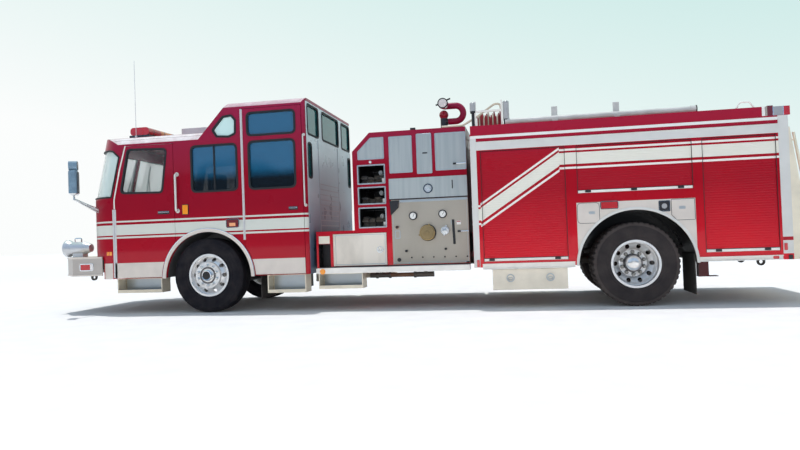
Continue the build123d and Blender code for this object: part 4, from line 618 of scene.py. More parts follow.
class Form:
    """Faces gathered for one piece: x in stations, y from the middle line to the right, z up."""

    def __init__(self):
        self.points = []
        self.faces = []

    def add(self, points, faces):
        start = len(self.points)
        self.points += [Vector(p) for p in points]
        self.faces += [[start + i for i in face] for face in faces]
        return self

    def loops(self, rows, closed=False):
        """Skin over loops of points that lie one after another, with its ends closed."""
        n = len(rows[0])
        faces = []
        for a in range(len(rows) if closed else len(rows) - 1):
            b = (a + 1) % len(rows)
            faces += [(a * n + i, a * n + (i + 1) % n, b * n + (i + 1) % n, b * n + i) for i in range(n)]
        if not closed:
            faces += [tuple(range(n)), tuple(range((len(rows) - 1) * n, len(rows) * n))]
        return self.add([p for row in rows for p in row], faces)

    def plate(self, outline, y0, y1):
        """A side-view outline made solid between two widths."""
        return self.loops([[(x, y, z) for x, z in outline] for y in (y0, y1)])

    def box(self, x0, x1, y0, y1, z0, z1):
        return self.plate(rectangle(x0, x1, z0, z1), y0, y1)

    def ring(self, outer, inner, y0, y1):
        """A flat frame between two side-view outlines with as many corners."""
        rows = [[(x, y, z) for x, z in line] for line, y in ((outer, y0), (outer, y1), (inner, y1), (inner, y0))]
        return self.loops(rows, closed=True)

    def border(self, outline, radius, out, into, y0, y1):
        """A frame that follows an opening, reaching a little outside and inside its edge."""
        outer = rounded(grow(outline, out), radius + out)
        inner = rounded(grow(outline, -into), max(radius - into, 0.001))
        return self.ring(outer, inner, y0, y1)

    def ribbon(self, path, z0, z1, depth):
        """A strip that stands along a line seen from above, thickened to its left."""
        rows = []
        for i, (x, y) in enumerate(path):
            before, after = Vector(path[max(i - 1, 0)]), Vector(path[min(i + 1, len(path) - 1)])
            way = (after - before).normalized()
            ox, oy = x - way.y * depth, y + way.x * depth
            rows.append([(x, y, z0), (ox, oy, z0), (ox, oy, z1), (x, y, z1)])
        return self.loops(rows)

    def tube(self, path, radius, sides=10, closed=False):
        """A round bar along some points."""
        path = [Vector(p) for p in path]
        count = len(path)
        rows, normal = [], None
        for i, p in enumerate(path):
            before = path[i - 1] if i or closed else p
            after = path[(i + 1) % count] if i < count - 1 or closed else p
            way = (after - before).normalized()
            normal = way.orthogonal() if normal is None else normal - way * normal.dot(way)
            normal.normalize()
            side = way.cross(normal)
            turns = [2 * pi * k / sides for k in range(sides)]
            rows.append([p + (normal * cos(t) + side * sin(t)) * radius for t in turns])
        return self.loops(rows, closed=closed)

    def turned(self, profile, x, y, z, axis="y", sides=32, closed=False):
        """A profile of (radius, distance along the axis) turned about a line."""
        rows = []
        for radius, reach in profile:
            row = []
            for k in range(sides):
                a, b = radius * cos(2 * pi * k / sides), radius * sin(2 * pi * k / sides)
                place = {"y": (a, reach, b), "x": (reach, a, b), "z": (a, b, reach)}[axis]
                row.append((x + place[0], y + place[1], z + place[2]))
            rows.append(row)
        return self.loops(rows, closed=closed)

    def lugged(self, profile, x, y, z, lugs):
        """A turned profile of (radius, radius between the lugs, distance), with the lugs' flanks steep."""
        shares = (0.0, 0.10, 0.60, 0.70)
        rows = []
        for high, low, reach in profile:
            row = []
            for k in range(lugs * 4):
                angle = 2 * pi * (k // 4 + shares[k % 4]) / lugs
                radius = high if k % 4 in (1, 2) else low
                row.append((x + radius * cos(angle), y + reach, z + radius * sin(angle)))
            rows.append(row)
        return self.loops(rows, closed=True)

    def disc(self, x, y0, y1, z, radius, sides=24):
        return self.turned([(radius, 0), (radius, y1 - y0)], x, y0, z, "y", sides)

    def nuts(self, x, y, z, pitch_r, count, radius, height):
        """Six-sided nuts on a circle, standing outward."""
        for k in range(count):
            angle = 2 * pi * (k + 0.5) / count
            cx, cz = x + pitch_r * cos(angle), z + pitch_r * sin(angle)
            self.turned([(radius, 0), (radius, height * 0.8), (radius * 0.75, height)], cx, y, cz, "y", 6)
            self.turned([(radius * 0.5, 0), (radius * 0.5, height * 1.5)], cx, y, cz, "y", 8)
        return self

    def facing_rear(self):
        """Swaps the side view for the view from behind: x becomes y and y becomes x."""
        self.points = [Vector((p.y, p.x, p.z)) for p in self.points]
        return self


def rectangle(x0, x1, z0, z1):
    return [(x0, z0), (x1, z0), (x1, z1), (x0, z1)]


def rounded(corners, radius, steps=5, closed=True):
    """The same line with soft corners, in two or three dimensions."""
    corners = [Vector(c) for c in corners]
    n = len(corners)
    line = []
    for i, corner in enumerate(corners):
        if not closed and i in (0, n - 1):
            line.append(tuple(corner))
            continue
        before, after = corners[i - 1] - corner, corners[(i + 1) % n] - corner
        turn = pi - before.angle(after)
        cut = min(radius * tan(turn / 2), 0.48 * before.length, 0.48 * after.length)
        start, end = corner + before.normalized() * cut, corner + after.normalized() * cut
        for k in range(steps + 1):
            t = k / steps
            line.append(tuple(start * (1 - t) ** 2 + corner * 2 * t * (1 - t) + end * t * t))
    return line


def grow(outline, by):
    """The outline with every edge moved outward."""
    n = len(outline)
    area = sum(outline[i - 1][0] * outline[i][1] - outline[i][0] * outline[i - 1][1] for i in range(n))
    sign = 1 if area > 0 else -1
    moved = []
    for i in range(n):
        before, corner, after = Vector(outline[i - 1]), Vector(outline[i]), Vector(outline[(i + 1) % n])
        a, b = (corner - before).normalized(), (after - corner).normalized()
        out_a, out_b = Vector((a.y, -a.x)) * sign, Vector((b.y, -b.x)) * sign
        both = out_a + out_b
        moved.append(tuple(corner + both * (by / both.dot(out_a))))
    return moved


def arc(cx, cz, radius, start, end, steps=12):
    """Points on a circle, with its angles in degrees."""
    turn = [radians(start + (end - start) * k / steps) for k in range(steps + 1)]
    return [(cx + radius * cos(a), cz + radius * sin(a)) for a in turn]


SIDE_NAMES = {1: "right", -1: "left"}


def make(name, form, material, body="chassis", sides=(1, -1), own=False, bevel=0.0, sharp=35, replaces=()):
    """Writes a form as one piece that holds both sides, or as one piece a side where each side moves by itself."""
    groups = [(sides, name, body, replaces)]
    if own:
        groups = [((s,), *(f"{word}_{SIDE_NAMES[s]}" for word in (name, body)),
                   [f"{node}_{SIDE_NAMES[s]}" for node in replaces]) for s in sides]
    look, slot = MATERIALS[material]
    for members, label, carrier, stands_for in groups:
        bm = bmesh.new()
        for side in members:
            corners = [bm.verts.new((AXLE_X + p.x, p.y * side, p.z)) for p in form.points]
            for face in form.faces:
                bm.faces.new([corners[i] for i in face])
        bmesh.ops.recalc_face_normals(bm, faces=bm.faces)
        for face in bm.faces:
            face.smooth = True
        for edge in bm.edges:
            if len(edge.link_faces) == 2 and edge.calc_face_angle() > radians(sharp):
                edge.smooth = False
        mesh = bpy.data.meshes.new(label)
        bm.to_mesh(mesh)
        bm.free()
        mesh.materials.append(look)
        piece = bpy.data.objects.new(label, mesh)
        bpy.context.scene.collection.objects.link(piece)
        if bevel:
            soften(piece, bevel)
        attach(piece, carrier)
        if stands_for:
            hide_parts(*stands_for)


def soften(piece, width):
    bevel = piece.modifiers.new("soft_edges", "BEVEL")
    bevel.width = width
    bevel.segments = 2
    bevel.limit_method = "ANGLE"
    bevel.angle_limit = radians(40)


def frame_round(name, material, *border, rear=False, **how):
    """A piece that is one frame round an opening."""
    form = Form().border(*border)
    make(name, form.facing_rear() if rear else form, material, **how)


def boxes(name, material, *rows, **how):
    """A piece put together from plain boxes: stations, side distances, heights."""
    form = Form()
    for row in rows:
        form.box(*row)
    make(name, form, material, **how)


# Cab windows: black rubber round each opening, columns: piece, body, each side its own, outline, corner
FRONT_WINDOW = [(-1.292, 1.735), (-0.651, 1.719), (-0.569, 2.323), (-1.162, 2.345)]
CENTRE_NOTCH = [
    (0.154, 2.544), (0.309, 2.715), (0.430, 2.729), (0.486, 2.661), (0.479, 2.481), (0.389, 2.445), (0.211, 2.457),
]
SIDE_WINDOWS = [
    ("front_door_rubber", "front_door", True, FRONT_WINDOW, 0.055),
    ("crew_low_rubber", "crew_door", True, rectangle(0.680, 1.335, 1.700, 2.344), 0.070),
    ("crew_top_rubber", "crew_door", True, rectangle(0.668, 1.348, 2.440, 2.742), 0.060),
    ("centre_rubber", "chassis", False, rectangle(-0.180, 0.490, 1.700, 2.330), 0.070),
    ("notch_rubber", "chassis", False, CENTRE_NOTCH, 0.028),
]
for piece, body, own, outline, corner in SIDE_WINDOWS:
    make(piece, Form().border(outline, corner, 0.020, 0.010, CAB_Y - 0.014, CAB_Y + 0.005), "gasket", body, own=own)
boxes("centre_slider", "gasket", (0.143, 0.167, CAB_Y - 0.026, CAB_Y - 0.006, 1.705, 2.325), bevel=0.002)

REAR_WINDOWS = [
    ("rear_rubber", (1, -1), 0.050, [(0.610, 1.085, 2.430, 2.830), (0.950, 1.090, 1.830, 2.295)]),
    ("middle_rubber", (1,), 0.055, [(-0.420, 0.420, 2.430, 2.830)]),
]
for piece, sides, corner, outlines in REAR_WINDOWS:
    rubber = Form()
    for outline in outlines:
        rubber.border(rectangle(*outline), corner, 0.020, 0.008, CAB_REAR - 0.014, CAB_REAR + 0.006)
    make(piece, rubber.facing_rear(), "gasket", sides=sides)

# Wheels: ribbed steer tyres, lugged drive tyres, nuts and hub caps
FRONT_WHEEL = {"body": "front_wheel", "own": True}
REAR_WHEEL = {"body": "rear_wheels", "own": True}
FRONT_Y = middle("front_tyre_right").y
FRONT_FACE_Y = FRONT_Y + 0.150
REAR_OUTER_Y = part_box("rear_tyres_right")[1].y - 0.145
REAR_INNER_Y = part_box("rear_tyres_right")[0].y + 0.145
REAR_FACE_Y = REAR_OUTER_Y - 0.156
NUT_CIRCLE_R, NUT_COUNT = 0.142, 10
SIDEWALL = [
    (0.290, 0.104), (0.2995, 0.1085), (0.3005, 0.122), (0.312, 0.1265), (0.316, 0.1290), (0.326, 0.1290),
    (0.329, 0.1272), (0.350, 0.1330), (0.353, 0.1352), (0.359, 0.1352), (0.362, 0.1345), (0.395, 0.1420),
    (0.430, 0.1448), (0.452, 0.1436), (0.456, 0.1448), (0.464, 0.1440), (0.467, 0.1418),
]
STEER_TREAD = [
    (0.488, 0.137), (0.502, 0.130), (0.514, 0.120), (0.5190, 0.110), (0.5196, 0.104), (0.5198, 0.080),
    (0.507, 0.0785), (0.507, 0.0705), (0.5205, 0.069), (0.5210, 0.036), (0.508, 0.0345), (0.508, 0.0265),
    (0.5212, 0.025), (0.5214, 0.004),
]
# The same for the drive tyres, with the depth between the lugs in the middle
DRIVE_TREAD = [
    (0.476, 0.472, 0.1420), (0.482, 0.476, 0.1420), (0.506, 0.498, 0.1380), (0.5180, 0.509, 0.1270),
    (0.5200, 0.512, 0.1120), (0.5204, 0.512, 0.070), (0.505, 0.505, 0.067), (0.505, 0.505, 0.052),
    (0.5208, 0.510, 0.050), (0.5212, 0.510, 0.012), (0.505, 0.505, 0.010), (0.505, 0.505, 0.004),
]


def both_ways(half):
    """A tyre's section from its inboard bead to its outboard one."""
    return [(*row[:-1], -row[-1]) for row in half] + [row for row in reversed(half)]


steer = Form().turned(both_ways(SIDEWALL + STEER_TREAD), 0, FRONT_Y, HUB_Z, "y", 120, closed=True)
make("steer_tyre", steer, "tyre_rubber", **FRONT_WHEEL, sharp=28, replaces=("front_tyre",))
drive = Form()
for y in (REAR_INNER_Y, REAR_OUTER_Y):
    drive.lugged(both_ways([(r, r, w) for r, w in SIDEWALL] + DRIVE_TREAD), WHEELBASE, y, HUB_Z, 46)
make("drive_tyres", drive, "tyre_rubber", **REAR_WHEEL, sharp=28, replaces=("rear_tyres",))

front_nuts = Form().nuts(0, FRONT_FACE_Y, HUB_Z, NUT_CIRCLE_R, NUT_COUNT, 0.021, 0.026)
make("front_nuts", front_nuts, "alloy", **FRONT_WHEEL)
rear_nuts = Form().nuts(WHEELBASE, REAR_FACE_Y, HUB_Z, NUT_CIRCLE_R, NUT_COUNT, 0.026, 0.034)
make("rear_nuts", rear_nuts, "nut_steel", **REAR_WHEEL)
oil_ring = [(0.056, 0.0), (0.074, 0.0), (0.073, 0.014), (0.066, 0.020), (0.058, 0.018)]
oil_ring = Form().turned(oil_ring, 0, FRONT_FACE_Y + 0.030, HUB_Z, "y", 36, closed=True)
make("oil_cap_ring", oil_ring, "chrome", **FRONT_WHEEL)
GLASS_Y = FRONT_FACE_Y + 0.041
oil_glass = [(0.058, 0.0), (0.058, 0.004), (0.030, 0.008), (0.006, 0.009)]
oil_glass = Form().turned(oil_glass, 0, GLASS_Y, HUB_Z, "y", 32)
oil_glass.turned([(0.014, 0.0), (0.014, 0.013), (0.006, 0.015)], 0, GLASS_Y, HUB_Z, "y", 12)
make("oil_cap_glass", oil_glass, "gasket", **FRONT_WHEEL)
weights = Form()
for start in (200, 20):
    bead_line = [(x, FRONT_FACE_Y - 0.030, z) for x, z in arc(0, HUB_Z, 0.272, start, start + 11, 4)]
    weights.tube(bead_line, 0.006, 6)
make("wheel_weights", weights, "panel_steel", **FRONT_WHEEL)

# Windscreen: the cab's nose is an arc in plan that leans back above the belt
CORNER_R = 0.480
NOSE_X = CAB_FRONT
BELT_Z = 1.650
LEAN = tan(radians(13.5))


def nose_shift(z):
    return max(z - BELT_Z, 0) * LEAN


def nose_point(z, angle, out=0.0):
    """Where the cab's skin is at one height, from the side (0) to the front (a right angle)."""
    reach = CORNER_R + out
    return NOSE_X + CORNER_R + nose_shift(z) - reach * sin(angle), CAB_Y - CORNER_R + reach * cos(angle)


def nose(x, z):
    """The point of the cab's skin at a station ahead of the corner's end."""
    along = min(max((NOSE_X + CORNER_R + nose_shift(z) - x) / CORNER_R, 0.0), 1.0)
    return (*nose_point(z, asin(along)), z)


def nose_plan(z, first, last, out=0.0, steps=10):
    return [nose_point(z, radians(first + (last - first) * k / steps), out) for k in range(steps + 1)]


SCREEN_LOW, SCREEN_TOP = 1.680, 2.355
RUBBER_R = 0.013
low_edge = [nose(-1.449, SCREEN_LOW)] + [(x, y, SCREEN_LOW) for x, y in nose_plan(SCREEN_LOW, 6, 90)]
low_edge += [(low_edge[-1][0], 0.020, SCREEN_LOW)]
top_edge = [(x, y, SCREEN_TOP) for x, y in nose_plan(SCREEN_TOP, 24, 90)]
top_edge += [(top_edge[-1][0], 0.020, SCREEN_TOP)]
side_edge = [nose(-1.306 - 0.0143 * k, 2.250 + 0.0126 * k) for k in range(1, 8)]
rise_edge = [nose(-1.449 + 0.0178 * k, SCREEN_LOW + 0.0712 * k) for k in range(1, 8)]
screen_edge = [*low_edge[::-1], *rise_edge, nose(-1.306, 2.250), *side_edge, *top_edge]
make("screen_rubber", Form().tube(screen_edge, RUBBER_R, 8, closed=True), "gasket")

# Columns: side distances of the foot and of the tip, station of the foot
WIPERS = [(0.13, 0.03, NOSE_X - 0.012), (0.66, 0.44, NOSE_X - 0.008)]
WIPER_FOOT_Z = 1.635
wipers = Form()
for foot_y, tip_y, foot_x in WIPERS:
    wipers.tube([(foot_x, foot_y, WIPER_FOOT_Z), (NOSE_X + nose_shift(2.10) - 0.020, tip_y, 2.10)], 0.008, 8)
    blade_low = (NOSE_X + nose_shift(1.80) - 0.022, tip_y + 0.03, 1.80)
    blade_top = (NOSE_X + nose_shift(2.30) - 0.018, tip_y - 0.02, 2.30)
    wipers.tube([blade_low, blade_top], 0.009, 6)
    wipers.disc(NOSE_X - 0.02, foot_y - 0.02, foot_y + 0.02, WIPER_FOOT_Z, 0.018)
make("wipers", wipers, "black_plastic")

# Cab sides: hinge trims, handles, grab rails, skirts and lamps
ARCH_X, ARCH_Z = 0.020, 0.490
SKIRT_R = 0.706
SKIRT_LOW, SKIRT_TOP = 0.517, 0.730
SKIRT_THICK = 0.003
for body, x, way in (("front_door", -1.412, -1), ("crew_door", 1.443, 1)):
    heights = [SKIRT_LOW + (SKIRT_TOP - SKIRT_LOW) * k / 5 for k in range(6)]
    skirt = [(ARCH_X + way * sqrt(SKIRT_R ** 2 - (z - ARCH_Z) ** 2), z) for z in heights]
    skirt = Form().plate([(x, SKIRT_TOP), (x, SKIRT_LOW), *skirt], CAB_Y, CAB_Y + SKIRT_THICK)
    make(f"{body}_skirt", skirt, "fender_alloy", body, own=True, bevel=0.001)
skirt = Form().ribbon(nose_plan(0.6, 0, 17, out=0.003, steps=6), 0.507, SKIRT_TOP, SKIRT_THICK)
make("corner_skirt", skirt, "fender_alloy")
edge_trim = [(-1.412, 1.505), (-1.412, 1.643), (-1.313, 2.068), (-1.212, 2.405), (-1.194, 2.405), (-1.294, 2.064),
             (-1.394, 1.641), (-1.394, 1.505)]
make("door_edge_trim", Form().plate(edge_trim, CAB_Y, CAB_Y + 0.004), "white_paint", "front_door", own=True)
for body, x0, x1, z in (("front_door", -0.72, -0.54, 1.43), ("crew_door", 1.23, 1.36, 1.41)):
    pan = Form().plate(rounded(rectangle(x0, x1, z - 0.026, z + 0.020), 0.012), CAB_Y, CAB_Y + 0.002)
    make(f"{body}_handle_pan", pan, "black_plastic", body, own=True)
    lever = (x0 + 0.006, x1 - 0.006, CAB_Y + 0.002, CAB_Y + 0.016, z - 0.006, z + 0.014)
    boxes(f"{body}_handle", "chrome", lever, body=body, own=True, bevel=0.004)

# Columns: piece, station, foot, heights, stand, radius
GRAB_RAILS = [
    ("cab_grab_rails", -0.410, CAB_Y, 1.440, 1.954, 0.055, 0.015),
    ("cab_rear_rails", 1.475, CAB_Y - 0.012, 1.440, 2.400, 0.050, 0.010),
]
for piece, x, y, z0, z1, stand, radius in GRAB_RAILS:
    bent = rounded([(x, y, z0), (x, y + stand, z0), (x, y + stand, z1), (x, y, z1)], 0.035, 5, closed=False)
    rails = Form().tube(bent, radius, 12)
    for z in (z0, z1):
        rails.disc(x, y, y + 0.010, z, radius * 2)
    make(piece, rails, "body_post")

markers = Form().box(-0.335, -0.255, CAB_Y, CAB_Y + 0.016, 1.390, 1.520)
markers.ribbon(nose_plan(0.87, 1, 13, steps=5), 0.840, 0.900, 0.014)
make("amber_markers", markers, "amber_lens", bevel=0.004)
frame_round("marker_frame", "black_plastic", rectangle(-0.335, -0.255, 1.390, 1.520),
            0.010, 0.008, -0.0005, CAB_Y, CAB_Y + 0.010)
TRIM_Y = CAB_Y + 0.012
frame_round("side_lamp_bezel", "chrome", rectangle(0.334, 0.500, 1.186, 1.283),
            0.012, 0.014, -0.001, CAB_Y, TRIM_Y + 0.016, bevel=0.002)
frame_round("bumper_lamp_bezel", "chrome", rectangle(-1.967, -1.776, 0.646, 0.724),
            0.012, 0.016, -0.001, CAB_Y, CAB_Y + 0.012, bevel=0.002)
boxes("bumper_lamp_end", "white_face", (-1.812, -1.778, CAB_Y + 0.009, CAB_Y + 0.0125, 0.648, 0.722))

# Nose: headlamps, grille surround, bumper lips and tread plate on the deck
HEADLAMP = [(0.052, 0.0), (0.052, -0.030), (0.046, -0.036), (0.010, -0.040)]
headlamps = Form()
for y in (0.540, 0.640):
    headlamps.turned(HEADLAMP, NOSE_X - 0.010, y, 1.040, "x", 24)
make("headlamps", headlamps, "clear_lens")
around = rounded(grow(rectangle(0.470, 0.700, 0.960, 1.120), 0.012), 0.02)
within = rounded(rectangle(0.478, 0.692, 0.968, 1.112), 0.02)
make("headlamp_bezel", Form().ring(around, within, NOSE_X - 0.040, NOSE_X).facing_rear(), "chrome", bevel=0.003)
NOSE_LAMPS = [
    ("nose_turn_lamps", "amber_lens", 1.135, 1.205, 0.024), ("nose_warning_lamps", "red_lens", 1.225, 1.335, 0.028),
]
for piece, material, z0, z1, deep in NOSE_LAMPS:
    lamp_face = Form().plate(rounded(rectangle(0.480, 0.690, z0, z1), 0.012), NOSE_X - deep, NOSE_X)
    make(piece, lamp_face.facing_rear(), material, bevel=0.003)
grille_back = Form().plate(rectangle(-0.410, 0.410, 0.950, 1.460), NOSE_X + 0.030, NOSE_X + 0.034)
make("grille_back", grille_back.facing_rear(), "gasket", sides=(1,))

BUMPER_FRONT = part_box("front_bumper")[0].x - AXLE_X
BUMPER_LOW, BUMPER_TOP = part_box("front_bumper")[0].z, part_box("front_bumper")[1].z
CHAMFER = 0.330
plan = [(-1.622, CAB_Y), (BUMPER_FRONT + CHAMFER, CAB_Y), (BUMPER_FRONT, CAB_Y - CHAMFER), (BUMPER_FRONT, 0.0)]
lips = Form()
for z0, z1 in ((BUMPER_LOW, BUMPER_LOW + 0.022), (BUMPER_TOP - 0.022, BUMPER_TOP + 0.001)):
    lips.ribbon(plan[::-1], z0, z1, 0.009)
make("bumper_lips", lips, "fender_alloy", bevel=0.002)
deck = [(-1.95, 0.0), (-1.95, 1.14), (BUMPER_FRONT + CHAMFER + 0.02, 1.14), (BUMPER_FRONT + 0.04, 0.835),
        (BUMPER_FRONT + 0.04, 0.0)]
deck_form = Form().loops([[(x, y, z) for x, y in deck] for z in (BUMPER_TOP, BUMPER_TOP + 0.003)])
make("bumper_deck", deck_form, "tread_plate")
SIREN_Y, SIREN_Z = -(CAB_Y - 0.330), 0.965
handle = [(-2.30, 0.09), (-2.30, 0.15), (-2.19, 0.15), (-2.19, 0.09)]
handle = rounded([(x, SIREN_Y, SIREN_Z + z) for x, z in handle], 0.02, 4, False)
make("siren_handle", Form().tube(handle, 0.009, 8), "chrome", sides=(1,))
mouth = [(0.112, 0), (0.112, 0.006), (0.075, 0.030), (0.030, 0.020)]
mouth = Form().turned(mouth, BUMPER_FRONT + 0.0035, SIREN_Y, SIREN_Z, "x", 28)
make("siren_mouth", mouth, "black_plastic", sides=(1,))

# Mirrors: glass and rims, columns: height of the middle, depth, half width, half height
MIRRORS = [(1.895, 0.0605, 0.068, 0.145), (2.135, 0.0555, 0.052, 0.044)]
MIRROR_X, MIRROR_Y = -1.870, CAB_Y + 0.235
MIRROR_TURN = radians(-28)
ahead, aside = cos(MIRROR_TURN), sin(MIRROR_TURN)
glasses, rims = Form(), Form()
for cz, deep, half, tall in MIRRORS:
    for form, grow_by, near, far in ((glasses, 0.0, deep, deep + 0.003), (rims, 0.008, deep - 0.010, deep + 0.001)):
        outline = rounded(rectangle(-half - grow_by, half + grow_by, -tall - grow_by, tall + grow_by), 0.03)
        form.loops([[
            (MIRROR_X + w * ahead - a * aside, MIRROR_Y + w * aside + a * ahead, cz + b) for a, b in outline
        ] for w in (near, far)])
make("mirror_glasses", glasses, "chrome")
make("mirror_rims", rims, "black_plastic")
arm = [(MIRROR_X, MIRROR_Y, 1.655), (-1.745, CAB_Y - 0.02, 1.510), (-1.700, CAB_Y - 0.105, 1.468)]
make("mirror_lower_arms", Form().tube(arm, 0.012, 10), "chrome")

# Roof: clearance lamps
CLEARANCE_LAMP = [(0.030, 0.0), (0.030, -0.022), (0.018, -0.036), (0.004, -0.040)]
lamps_row = Form()
for y in (0.0, 0.16):
    lamps_row.turned(CLEARANCE_LAMP, NOSE_X + nose_shift(2.43) - 0.004, y, 2.43, "x", 16)
make("clearance_lamps", lamps_row, "amber_lens")

# Cab rear: ribbed alloy sheet and posts
ribs = Form()
for z in [1.16 + 0.075 * k for k in range(9)]:
    ribs.box(-0.62, 0.30, CAB_REAR, CAB_REAR + 0.006, z, z + 0.010)
for y in (-0.635, 0.352):
    ribs.box(y - 0.012, y + 0.012, CAB_REAR, CAB_REAR + 0.005, 1.02, 2.39)
make("rear_ribs", ribs.facing_rear(), "panel_steel", sides=(1,))

# Pump: frames and hoses of the through bins, ribs, handles, gauges and caps
BINS = [(1.102, 1.374), (1.420, 1.651), (1.696, 1.953)]
BIN_FRONT, BIN_REAR = 2.166, 2.546
HOSE_THICK = 0.022
HOSE_PITCH = HOSE_THICK + 0.004
COUPLING = [(0.024, 0), (0.036, 0.004), (0.036, 0.026), (0.028, 0.030), (0.028, 0.070)]
bin_frames, hoses, couplings, valves, bin_shade_walls = Form(), Form(), Form(), Form(), Form()
for z0, z1 in BINS:
    bin_frames.border(rectangle(BIN_FRONT, BIN_REAR, z0, z1), 0.010, 0.006, 0.012, PUMP_Y - 0.05, PUMP_Y + 0.004)
    # Flat hose laid in zigzag layers, with its folds at the ends
    for column in range(4):
        x = BIN_FRONT + 0.018 + column * 0.088
        for row in range(int((z1 - z0 - 0.11) / HOSE_PITCH) - column % 2):
            z = z0 + 0.001 + row * HOSE_PITCH
            end = PUMP_Y - 0.11 - 0.03 * (column % 3) - 0.035 * (row % 3)
            section = rounded(rectangle(x, x + 0.080, z, z + HOSE_THICK), HOSE_THICK * 0.45, 3)
            hoses.plate(section, -end, end)
    couplings.turned(COUPLING, BIN_REAR - 0.080, PUMP_Y - 0.170, z0 + 0.155, "y", 20)
    valves.box(BIN_REAR - 0.060, BIN_REAR - 0.020, PUMP_Y - 0.150, PUMP_Y - 0.080, z0 + 0.020, z0 + 0.075)
    # A black wall in the middle of each bin: painted shade
    bin_shade_walls.box(BIN_FRONT + 0.001, BIN_REAR - 0.001, -0.004, 0.004, z0 + 0.001, z1 - 0.001)
make("bin_frames", bin_frames, "panel_steel", bevel=0.002)
make("bin_hoses", hoses, "dark_jacket", sides=(1,), replaces=("hose_loads",))
make("bin_couplings", couplings, "nut_steel")
make("bin_valves", valves, "white_paint", bevel=0.004)
make("bin_back", bin_shade_walls, "black_plastic", sides=(1,))

RACK_FRONT, RACK_DECK_Z = 3.790, 2.357
rack_hoses, rack_red = Form(), Form()
for column in range(16):
    x = RACK_FRONT + 0.026 + column * 0.0195
    form = rack_hoses if column % 3 == 1 else rack_red
    form.plate(rounded(rectangle(x, x + 0.016, RACK_DECK_Z, 2.505 + 0.020 * (column % 4)), 0.007, 3), -0.98, 0.98)
make("rack_hoses_pale", rack_hoses, "hose_jacket", sides=(1,))
make("rack_hoses_red", rack_red, "red_hose", sides=(1,))

VENT_RIBS = [3.024 + k * 0.042 for k in range(4)]
boxes("vent_ribs", "pump_steel", *[(x, x + 0.010, PUMP_Y + 0.008, PUMP_Y + 0.010, 1.815, 2.315) for x in VENT_RIBS],
      bevel=0.0005)
PANEL_FRAMES = [
    ([(2.178, 2.030), (2.540, 2.030), (2.540, 2.318), (2.359, 2.318), (2.178, 2.140)], 0.004),
    (rectangle(2.616, 2.926, 1.825, 2.316), 0.004), (rectangle(2.993, 3.193, 1.799, 2.330), 0.008),
    (rectangle(3.244, 3.648, 1.830, 2.323), 0.004),
]
frames = Form()
for outline, face in PANEL_FRAMES:
    frames.border(outline, 0.012, 0.004, 0.010, PUMP_Y, PUMP_Y + face + 0.003)
make("upper_panel_frames", frames, "panel_steel", bevel=0.001)
# Dark slots, and one long thin strip of painted shadow under the ledge, columns: outline, rounding, inner and outer
# face
PUMP_SLOTS_AND_SHADE = [
    (rectangle(3.070, 3.138, 2.062, 2.080), 0.008, 0.008, 0.014),
    (rectangle(3.449, 3.463, 1.578, 1.694), 0.006, 0.014, 0.020),
    ([(3.430, 1.169), (3.464, 1.169), (3.474, 0.841), (3.440, 0.841)], 0.008, 0.004, 0.009),
    # Painted shadow under the ledge
    (rectangle(2.600, 3.652, 1.461, 1.473), 0, 0.002, 0.022),
    ([(2.602, 1.448), (2.731, 1.451), (2.718, 1.353), (2.613, 1.258)], 0, 0.004, 0.030),
    (rectangle(1.583, 1.741, 0.890, 0.896), 0, -0.006, 0.002),
    (rectangle(3.600, 3.650, 0.592, 0.612), 0, 0.001, 0.006),
]
slots = Form()
for outline, radius, inner, outer in PUMP_SLOTS_AND_SHADE:
    slots.plate(rounded(outline, radius) if radius else outline, PUMP_Y + inner, PUMP_Y + outer)
make("pump_slots", slots, "black_plastic", bevel=0.002)
PLATE_Y = PUMP_Y + 0.004
# A black sheet at the back of the recess: painted shade
boxes("recess_back", "black_plastic", (1.590, 1.735, PUMP_Y - 0.176, PUMP_Y - 0.172, 0.584, 0.898))
boxes("pump_strips", "panel_steel", (2.735, 3.650, PLATE_Y, PUMP_Y + 0.012, 1.428, 1.456),
      (3.418, 3.426, PLATE_Y, PUMP_Y + 0.008, 1.100, 1.160), bevel=0.001)
boxes("recess_label", "box_alloy", (1.585, 1.739, PUMP_Y - 0.004, PUMP_Y + 0.003, 0.904, 1.008), bevel=0.001)
label = Form().plate(rounded(rectangle(3.495, 3.549, 1.098, 1.148), 0.004), PLATE_Y, PUMP_Y + 0.007)
make("blank_label", label, "white_face")
boxes("blank_label_line", "red_paint", (3.497, 3.547, PUMP_Y + 0.007, PUMP_Y + 0.008, 1.134, 1.144))

# Gauges, columns: station, height, radius
GAUGES = [(2.915, 1.236, 0.048), (3.313, 1.246, 0.048)]
GAUGE_Y = PUMP_Y + 0.030
faces, rims, needles = Form(), Form(), Form()
for x, z, radius in GAUGES:
    faces.disc(x, GAUGE_Y, GAUGE_Y + 0.002, z, radius - 0.006, 28)
    rim = [(radius + 0.008, -0.028), (radius + 0.008, 0.004), (radius - 0.004, 0.006), (radius - 0.006, 0.0)]
    rims.turned(rim, x, GAUGE_Y, z, "y", 28)
    needle = [(x - 0.003, z - 0.010), (x + 0.003, z - 0.010), (x + 0.022, z + 0.030), (x + 0.018, z + 0.032)]
    needles.plate(needle, GAUGE_Y + 0.002, GAUGE_Y + 0.004)
    for k in range(11):
        a = radians(225 - 27 * k)
        cx, cz = x + (radius - 0.013) * cos(a), z + (radius - 0.013) * sin(a)
        needles.disc(cx, GAUGE_Y + 0.002, GAUGE_Y + 0.003, cz, 0.0028, 6)
make("gauge_faces", faces, "white_face")
make("gauge_rims", rims, "black_plastic")
make("gauge_marks", needles, "gasket")

